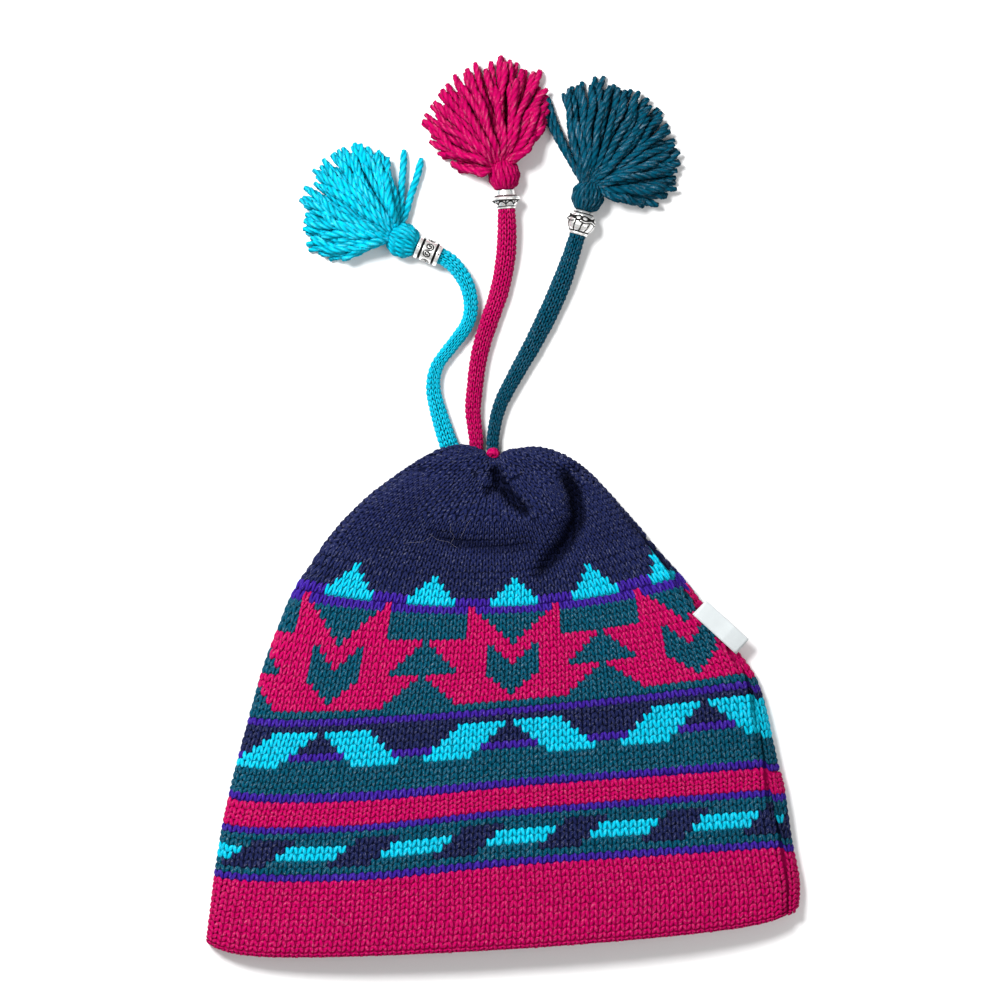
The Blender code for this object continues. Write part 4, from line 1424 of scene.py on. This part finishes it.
class BEANIE_OT_label(bpy.types.Operator):
    """Folds the white ribbon tab that is sewn into the side seam"""

    bl_idname = "beanie.label"
    bl_label = "Side tab"

    def execute(self, context):
        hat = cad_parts["hat_body"]
        corners = [hat.matrix_world @ vertex.co for vertex in hat.data.vertices]
        solid = BVHTree.FromPolygons(corners, [tuple(face.vertices) for face in hat.data.polygons])
        along = Vector((math.cos(LABEL_TURN), math.sin(LABEL_TURN)))
        out = Vector((-along.y, along.x))
        middle = Vector((LABEL_PLACE[0] * HAT_WIDTH, LABEL_PLACE[1] * HAT_LENGTH))
        shape = Shape()
        outer, inner, yarn = [], [], []
        ribbon = settings("beanie_label").ribbon_thickness
        round_over = (LABEL_THICKNESS - ribbon) / 2
        flat = LABEL_WIDTH - round_over
        centre = [(share * flat, ribbon / 2) for share in np.linspace(0.0, 1.0, LABEL_FLAT_STEPS)]
        for turn in np.linspace(-math.pi / 2, math.pi / 2, LABEL_ROUND_STEPS)[1:-1]:
            height = LABEL_THICKNESS / 2 + round_over * math.sin(turn)
            centre.append((flat + round_over * math.cos(turn), height))
        centre += [(x, LABEL_THICKNESS - z) for x, z in centre[LABEL_FLAT_STEPS - 1 :: -1]]
        centre = np.array(centre)
        normals = unit(np.gradient(centre, axis=0))[:, ::-1] * (1, -1)
        above = Vector((0.0, 0.0, 2 * HAT_RISE))
        for step in range(LABEL_LONG_STEPS + 1):
            share = step / LABEL_LONG_STEPS
            base = middle + along * LABEL_LENGTH * (share - 0.5)
            least = 0.0
            for wide in (0.0, 0.5, 1.0):
                place = base + out * LABEL_WIDTH * (wide - 0.5)
                hit = solid.ray_cast(place.to_3d() + above, Vector((0.0, 0.0, -1.0)))[0]
                if hit is not None:
                    least = max(least, hit.z + LABEL_DROOP * LABEL_WIDTH * wide)
            wave = LABEL_WAVE * math.sin(share * LABEL_WAVE_TURN)
            for number, ((across, height), normal) in enumerate(zip(centre, normals)):
                upper = number / (len(centre) - 1)
                skew = LABEL_SKEW * (share - 0.5) * (1 - upper) * 2
                spot = base + along * skew + out * (across - LABEL_WIDTH / 2)
                droop = LABEL_DROOP * across
                z = least + CLEARANCE + height - droop + wave * upper
                for side, ring in ((1, outer), (-1, inner)):
                    shift = normal * ribbon / 2 * side
                    ring.append((spot.x + out.x * shift[0], spot.y + out.y * shift[0], z + shift[1]))
                yarn.append((share, across / LABEL_WIDTH, 0.0))
        count = len(centre)
        total = len(outer)
        rings = LABEL_LONG_STEPS + 1
        sheet = grid_faces(rings, count, closed=False)
        faces = [sheet, sheet[:, ::-1] + total]
        for column in (0, count - 1):
            here = np.arange(rings - 1) * count + column
            edge = np.stack([here, here + count, here + count + total, here + total], axis=1)
            faces.append(edge if column == 0 else edge[:, ::-1])
        for row in (0, rings - 1):
            here = row * count + np.arange(count - 1)
            edge = np.stack([here, here + 1, here + 1 + total, here + total], axis=1)
            faces.append(edge[:, ::-1] if row == 0 else edge)
        shape.add(outer + inner, [(np.concatenate(faces), 0)], yarn + yarn)
        shape.piece("side_tab", [satin_finish()], "side_label", "white_satin")
        return {"FINISHED"}


class BEANIE_OT_knot(bpy.types.Operator):
    """Winds the small knot of the gathering cord"""

    bl_idname = "beanie.knot"
    bl_label = "Gathering knot"

    def execute(self, context):
        low, high = (np.array(corner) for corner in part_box("gather_knot"))
        middle, radius = (low + high) / 2, (high[0] - low[0]) / 2
        shape = Shape()
        turn = np.linspace(0.0, 2 * math.pi, 25)
        for number, lean in enumerate(KNOT_LEANS):
            rise = KNOT_RISE * np.sin(turn + number)
            wound = np.stack([np.cos(turn), np.sin(turn) * KNOT_FLATNESS, rise], axis=1)
            cosine, sine = math.cos(lean), math.sin(lean)
            spin = np.array([[cosine, -sine, 0], [sine, cosine, 0], [0, 0, 1]])
            path = middle + wound @ spin.T * radius * KNOT_REACH
            radii = np.full(len(path), radius * KNOT_YARN)
            add_tube(
                shape, path, radii, PLY_SIDES, PLIES, KNOT_VALLEY, KNOT_TWIST, own=0.3 * number,
                soft=KNOT_GAP_LIGHT,
            )
        shape.piece("gather_knot_yarn", [yarn_finish("pink")], "gather_knot", "pink_yarn")
        return {"FINISHED"}


def scroll_line():
    """Two spirals joined as an S, in millimetres from the middle of the S."""
    turn = np.linspace(0.0, 1.0, 40)
    heading = -math.pi / 2 + turn * 3.3 * math.pi
    reach = 1.75 * (1 - 0.80 * turn)
    arm = np.stack([reach * np.cos(heading) * 0.95, 1.75 + reach * np.sin(heading)], axis=1)
    return np.concatenate([-arm[::-1], arm])


def groove(distance, width, depth=1.5):
    """1 close to a line and 0 far from it, from the distance to it and the width of its edge."""
    return np.clip(depth - distance / width, 0.0, 1.0)


def line_nearness(x, y, line, width):
    """1 on a line given by points, falling to 0 at about its width beside it."""
    nearest = np.full(np.shape(x), np.inf)
    for point in line:
        nearest = np.minimum(nearest, np.hypot(x - point[0], y - point[1]))
    return groove(nearest, width / 2)


def barrel_cuts(along, angle, radius, length):
    """Grooves near the ends, ticks outside them, and S scrolls round the middle."""
    x = (along - 0.5) * length * MILLIMETRES
    repeat = 2 * math.pi / 4
    y = (np.mod(angle + repeat / 2, repeat) - repeat / 2) * radius * MILLIMETRES
    cuts = line_nearness(x, y, scroll_line() * (1.15, 0.95), 0.50)
    for at in (0.205, 0.795):
        cuts = np.maximum(cuts, groove(np.abs(along - at), 0.04, 1.6))
    ticks = (np.abs(along - 0.5) > 0.40) & (np.abs(y) < 0.30)
    return np.maximum(cuts, ticks * 0.9)


def saucer_cuts(along, angle, radius, length):
    """Petals on the bowl, ribs under the rim and a dark line on each side of it."""
    petal = np.abs(np.sin(angle * 4))
    rim, under = groove(np.abs(along - 0.43), 0.03), groove(np.abs(along - 0.68), 0.03)
    arcs = groove(np.abs(along - (0.15 + 0.22 * petal**0.6)), 0.030)
    ribs = groove(petal, 0.20, 1.4) * ((along > 0.12) & (along < 0.40))
    neck = groove(np.abs(along - 0.11), 0.025, 1.4)
    return np.maximum.reduce([rim, under * 0.9, arcs, ribs, neck])


def round_cuts(along, angle, radius, length):
    """Fanned leaves below a row of eyes, with a dark line at each collar."""
    fan = np.abs(np.sin(angle * 6 + (along - 0.12) * 2.0))
    leaves = groove(fan, 0.26, 1.4) * ((along > 0.13) & (along < 0.52))
    eye_x, eye_y = (along - 0.68) / 0.09, np.abs(np.sin(angle * 2)) * 2.2 - 1.0
    eyes = groove(np.abs(np.hypot(eye_x, eye_y) - 1.0), 0.28)
    line = groove(np.abs(along - (0.52 + 0.035 * np.sin(angle * 6))), 0.022, 1.4)
    collars = [groove(np.abs(along - at), 0.025, 1.4) for at in (0.13, 0.90)]
    return np.maximum.reduce([leaves, eyes, line, *collars])


Bead = namedtuple("Bead", "node piece outline diameter length cuts")
BEADS = {
    "turquoise": Bead(
        "bead_barrel", "barrel_bead", BARREL_OUTLINE, BARREL_DIAMETER, BARREL_LENGTH, barrel_cuts
    ),
    "pink": Bead("bead_saucer", "saucer_bead", SAUCER_OUTLINE, SAUCER_DIAMETER, SAUCER_LENGTH, saucer_cuts),
    "teal": Bead("bead_round", "round_bead", ROUND_OUTLINE, ROUND_DIAMETER, ROUND_LENGTH, round_cuts),
}
BEAD_SIDES, BEAD_STEPS = 96, 64
# The plain rims at a bead's ends as a share of its length, and how dark its bore is
PLAIN_END, BORE_DARK = 0.02, 0.7


class BEANIE_OT_beads(bpy.types.Operator):
    """Turns and engraves the three metal beads"""

    bl_idname = "beanie.beads"
    bl_label = "Beads"

    def execute(self, context):
        look = silver_finish()
        for name, bead in BEADS.items():
            self.turn(bead, CORDS[name].route, look)
        return {"FINISHED"}

    def turn(self, bead, route, look):
        relief = settings("beanie_beads").relief
        bore = CORD_DIAMETER / 2 + CLEARANCE
        along = np.linspace(0.0, 1.0, BEAD_STEPS)
        angle = 2 * math.pi * np.arange(BEAD_SIDES) / BEAD_SIDES
        radius = np.maximum(bead.diameter / 2 * read_steps(bead.outline, along), bore + CLEARANCE)
        alongs, angles = np.meshgrid(along, angle, indexing="ij")
        cuts = bead.cuts(alongs, angles, bead.diameter / 2, bead.length)
        cuts = cuts * ((alongs > PLAIN_END) & (alongs < 1 - PLAIN_END))
        outer = radius[:, None] - relief * cuts
        bores = np.full((2, BEAD_SIDES), bore)
        radii = np.concatenate([outer, bores])
        stations = np.concatenate([along, [1.0, 0.0]]) * bead.length
        cuts = np.concatenate([cuts, np.full((2, BEAD_SIDES), BORE_DARK)])
        end, way = cord_end(route)
        side = unit(np.cross([0.0, 0.0, 1.0], way))
        up = np.cross(way, side)
        start = end - way * bead.length
        points = (
            start
            + stations[:, None, None] * way
            + (radii * np.cos(angle))[..., None] * up
            + (radii * np.sin(angle))[..., None] * side
        )
        rings = len(stations)
        faces = grid_faces(rings, BEAD_SIDES)
        here, ring = np.arange(BEAD_SIDES), (rings - 1) * BEAD_SIDES
        after = (here + 1) % BEAD_SIDES
        close = np.stack([ring + here, ring + after, after, here], axis=1)
        yarn = np.stack([cuts, np.zeros_like(cuts), np.zeros_like(cuts)], axis=-1)
        shape = Shape()
        shape.add(points, [(np.concatenate([faces, close])[:, ::-1], 0)], yarn)
        thing = shape.piece(bead.piece, [look], bead.node, "antique_silver")
        thing.data.set_sharp_from_angle(angle=math.radians(50))


Tassel = namedtuple("Tassel", "lie spread strays head_swell")
TASSELS = {
    "turquoise": Tassel(TURQUOISE_LIE, TURQUOISE_SPREAD, TURQUOISE_STRAYS, 1.16),
    "pink": Tassel(PINK_LIE, PINK_SPREAD, PINK_STRAYS, 1.06),
    "teal": Tassel(TEAL_LIE, TEAL_SPREAD, TEAL_STRAYS, 1.08),
}
# Layers of a tassel from the surface up: share of the strands, tip and middle height, share of the reach
Layer = namedtuple("Layer", "share tip middle reach")
LAYERS = [
    Layer(0.36, 0.0016, 0.0034, 1.00),
    Layer(0.29, 0.0038, 0.0070, 0.99),
    Layer(0.21, 0.0060, 0.0100, 0.92),
    Layer(0.14, 0.0082, 0.0124, 0.78),
]
HEAD_STRANDS = 18
# How far a strand bows and waves to the side, and how far apart its points are
STRAND_BOW, STRAND_WAVE, STRAND_STEP = 0.0014, 0.0007, 0.0013


class BEANIE_OT_tassels(bpy.types.Operator):
    """Makes the yarn tassels: a bulb of strands at each bead, and plied strands that fan out from it"""

    bl_idname = "beanie.tassels"
    bl_label = "Tassels"

    def execute(self, context):
        for number, (name, tassel) in enumerate(TASSELS.items()):
            chance = np.random.default_rng(60 + number)
            shape = Shape()
            end, way = cord_end(CORDS[name].route)
            middle = end + way * (TASSEL_HEAD / 2 + CLEARANCE)
            self.head(shape, middle, way, tassel, chance)
            self.fan(shape, middle, tassel, chance)
            shape.piece(f"tassel_{name}_yarn", [yarn_finish(name)], f"tassel_{name}", f"{name}_yarn")
        return {"FINISHED"}

    def head(self, shape, middle, way, tassel, chance):
        """The bulb: strands that run from the bead over a round core to the neck."""
        sizes = settings("beanie_tassels")
        radius = TASSEL_HEAD / 2
        side = unit(np.cross([0.0, 0.0, 1.0], way))
        up = np.cross(way, side)
        turn = np.linspace(0.06 * math.pi, 0.90 * math.pi, 14)
        thick = 2 * math.pi * radius * tassel.head_swell / HEAD_STRANDS * 0.62
        for number in range(HEAD_STRANDS):
            angle = 2 * math.pi * (number + 0.3 * chance.random()) / HEAD_STRANDS
            swirl = angle + 0.25 * np.cos(turn)
            wide = (radius * tassel.head_swell - thick * 0.6) * np.sin(turn) ** 0.8
            high = np.minimum(wide, (radius - thick * 0.6) * np.sin(turn) ** 0.8)
            path = (
                middle
                - way * (radius * np.cos(turn))[:, None]
                + side * (wide * np.cos(swirl))[:, None]
                + up * (high * np.sin(swirl))[:, None]
            )
            radii = thick * (0.55 + 0.45 * np.sin(turn))
            add_tube(
                shape, path, radii, 6, PLIES, PLY_VALLEY, sizes.twist_length, own=chance.random(),
                soft=PLY_GAP_LIGHT, low_limit=0.0001,
            )
        core = np.linspace(0.04, 0.96, 10)
        path = middle + way * (radius * (2 * core - 1))[:, None] * 0.9
        add_tube(shape, path, radius * 0.86 * np.sin(math.pi * core) ** 0.6, 14, low_limit=0.0002)

    def fan(self, shape, middle, tassel, chance):
        sizes = settings("beanie_tassels")
        angles = [turn for turn, reach in tassel.spread]
        low_angle, high_angle = min(angles), max(angles)
        for layer in LAYERS:
            count = round(sizes.strands * layer.share)
            for number in range(count):
                turn = low_angle + (high_angle - low_angle) * (number + 0.5 + 0.22 * chance.normal()) / count
                turn = min(max(turn, low_angle), high_angle)
                reach = read_steps(tassel.spread, turn) * layer.reach * (1.07 - 0.10 * abs(chance.normal()))
                self.strand(shape, middle, tassel, turn, reach, layer, chance)
        for turn, reach in tassel.strays:
            self.strand(shape, middle, tassel, turn, reach, LAYERS[0], chance, curl=0.4)

    def strand(self, shape, middle, tassel, turn, reach, layer, chance, curl=1.0):
        """One strand from the neck outwards: up over the ones below it, then down towards the surface."""
        sizes = settings("beanie_tassels")
        radius = sizes.strand_diameter / 2 * (1 + 0.07 * chance.normal())
        lie = math.radians(tassel.lie)
        angle = lie + math.radians(turn)
        head = TASSEL_HEAD / 2 * tassel.head_swell
        spot = lie + math.radians(turn) * 0.62
        start = middle[:2] + np.array([math.cos(spot), math.sin(spot)]) * head * 0.92
        neck = middle[:2] + np.array([math.cos(lie), math.sin(lie)]) * TASSEL_HEAD / 2
        tip = neck + np.array([math.cos(angle), math.sin(angle)]) * reach * TASSEL_REACH
        aside = np.array([-math.sin(angle), math.cos(angle)])
        share = np.linspace(0.0, 1.0, 8)
        bow = curl * STRAND_BOW * chance.normal() * np.sin(math.pi * share)
        wave = curl * STRAND_WAVE * chance.normal()
        wave = wave * np.sin(2 * math.pi * share * 1.5 + 6 * chance.random()) * share
        flat = start + (tip - start) * share[:, None] + aside * (bow + wave)[:, None]
        table = [
            (0.0, middle[2] * 0.5 + layer.middle * 0.4), (0.25, layer.middle + 0.0004), (0.55, layer.middle),
            (0.85, (layer.middle + layer.tip) / 2), (1.0, layer.tip),
        ]
        rise = read_steps(table, share) + 0.0004 * chance.normal(size=len(share))
        path = spaced(np.column_stack([flat, np.maximum(rise, radius)]), STRAND_STEP)
        run = run_along(path)
        from_tip = (run[-1] - run) / (2.0 * radius)
        radii = radius * (0.66 + 0.34 * smooth_step(from_tip)) * (0.8 + 0.2 * smooth_step(run / 0.006))
        add_tube(
            shape, path, radii, PLY_SIDES, PLIES, PLY_VALLEY, sizes.twist_length, own=chance.random(),
            soft=PLY_GAP_LIGHT, low_limit=0.0,
        )


# Loose fibres on the knit: place among the sections, turn, length and heading
Hair = namedtuple("Hair", "place turn length heading")
HAIRS = [
    Hair(9.2, 0.24, 0.011, 0.4), Hair(9.3, 0.31, 0.014, -0.3), Hair(9.9, 0.37, 0.009, 1.3),
    Hair(9.6, 0.33, 0.008, 2.0), Hair(0.9, 0.22, 0.010, -0.6),
]
HAIR_RADIUS, HAIR_LIFT, HAIR_STEP = 0.00003, 0.0006, 0.0008


class BEANIE_OT_hairs(bpy.types.Operator):
    """Lays a few loose pale fibres on the knit"""

    bl_idname = "beanie.hairs"
    bl_label = "Loose fibres"

    def execute(self, context):
        chance = np.random.default_rng(90)
        shape = Shape()
        for hair in HAIRS:
            middle = face_point(hair.place, hair.turn)
            pitch = np.linalg.norm(face_point(hair.place + PLACE_STEP, hair.turn) - middle) / PLACE_STEP
            breadth = np.linalg.norm(face_point(hair.place, hair.turn + TURN_STEP) - middle) / TURN_STEP
            share = np.linspace(-0.5, 0.5, 9)
            bend = 0.25 * chance.normal() * (share**2 - 0.1) + 0.06 * chance.normal() * np.sin(9 * share)
            along, aside = share * hair.length, bend * hair.length
            right = along * math.cos(hair.heading) - aside * math.sin(hair.heading)
            higher = along * math.sin(hair.heading) + aside * math.cos(hair.heading)
            places, turns = hair.place + higher / pitch, hair.turn + right / breadth
            path = spaced(face_point(places, turns) + HAIR_LIFT * face_normal(places, turns), HAIR_STEP)
            add_tube(shape, path, np.full(len(path), HAIR_RADIUS), 5, soft=1.0)
        shape.piece("loose_fibres", [fibre_finish()], "hat_body", "knit_navy")
        return {"FINISHED"}


# Panel, registration and the run


OPERATORS = [
    BEANIE_OT_stage,
    BEANIE_OT_cords,
    BEANIE_OT_shell,
    BEANIE_OT_bands,
    BEANIE_OT_crown,
    BEANIE_OT_label,
    BEANIE_OT_knot,
    BEANIE_OT_beads,
    BEANIE_OT_tassels,
    BEANIE_OT_hairs,
]


class BEANIE_PT_panel(bpy.types.Panel):
    """Lists the sizes and colours, and the steps that make the hat"""

    bl_idname = "BEANIE_PT_panel"
    bl_label = "Ski Beanie"
    bl_space_type = "VIEW_3D"
    bl_region_type = "UI"
    bl_category = "Beanie"

    def draw(self, context):
        for name, group in GROUPS.items():
            box = self.layout.box()
            for setting in group.__annotations__:
                box.prop(getattr(context.scene, name), setting)
        for operator in OPERATORS:
            self.layout.operator(operator.bl_idname)


CLASSES = [*GROUPS.values(), *OPERATORS, BEANIE_PT_panel]


def register():
    for each in CLASSES:
        bpy.utils.register_class(each)
    for name, group in GROUPS.items():
        setattr(bpy.types.Scene, name, PointerProperty(type=group))


def unregister():
    for name in GROUPS:
        delattr(bpy.types.Scene, name)
    for each in reversed(CLASSES):
        bpy.utils.unregister_class(each)


def main():
    register()
    for operator in OPERATORS:
        group, name = operator.bl_idname.split(".")
        getattr(getattr(bpy.ops, group), name)()
    declare_cords()


if __name__ == "__main__":
    main()
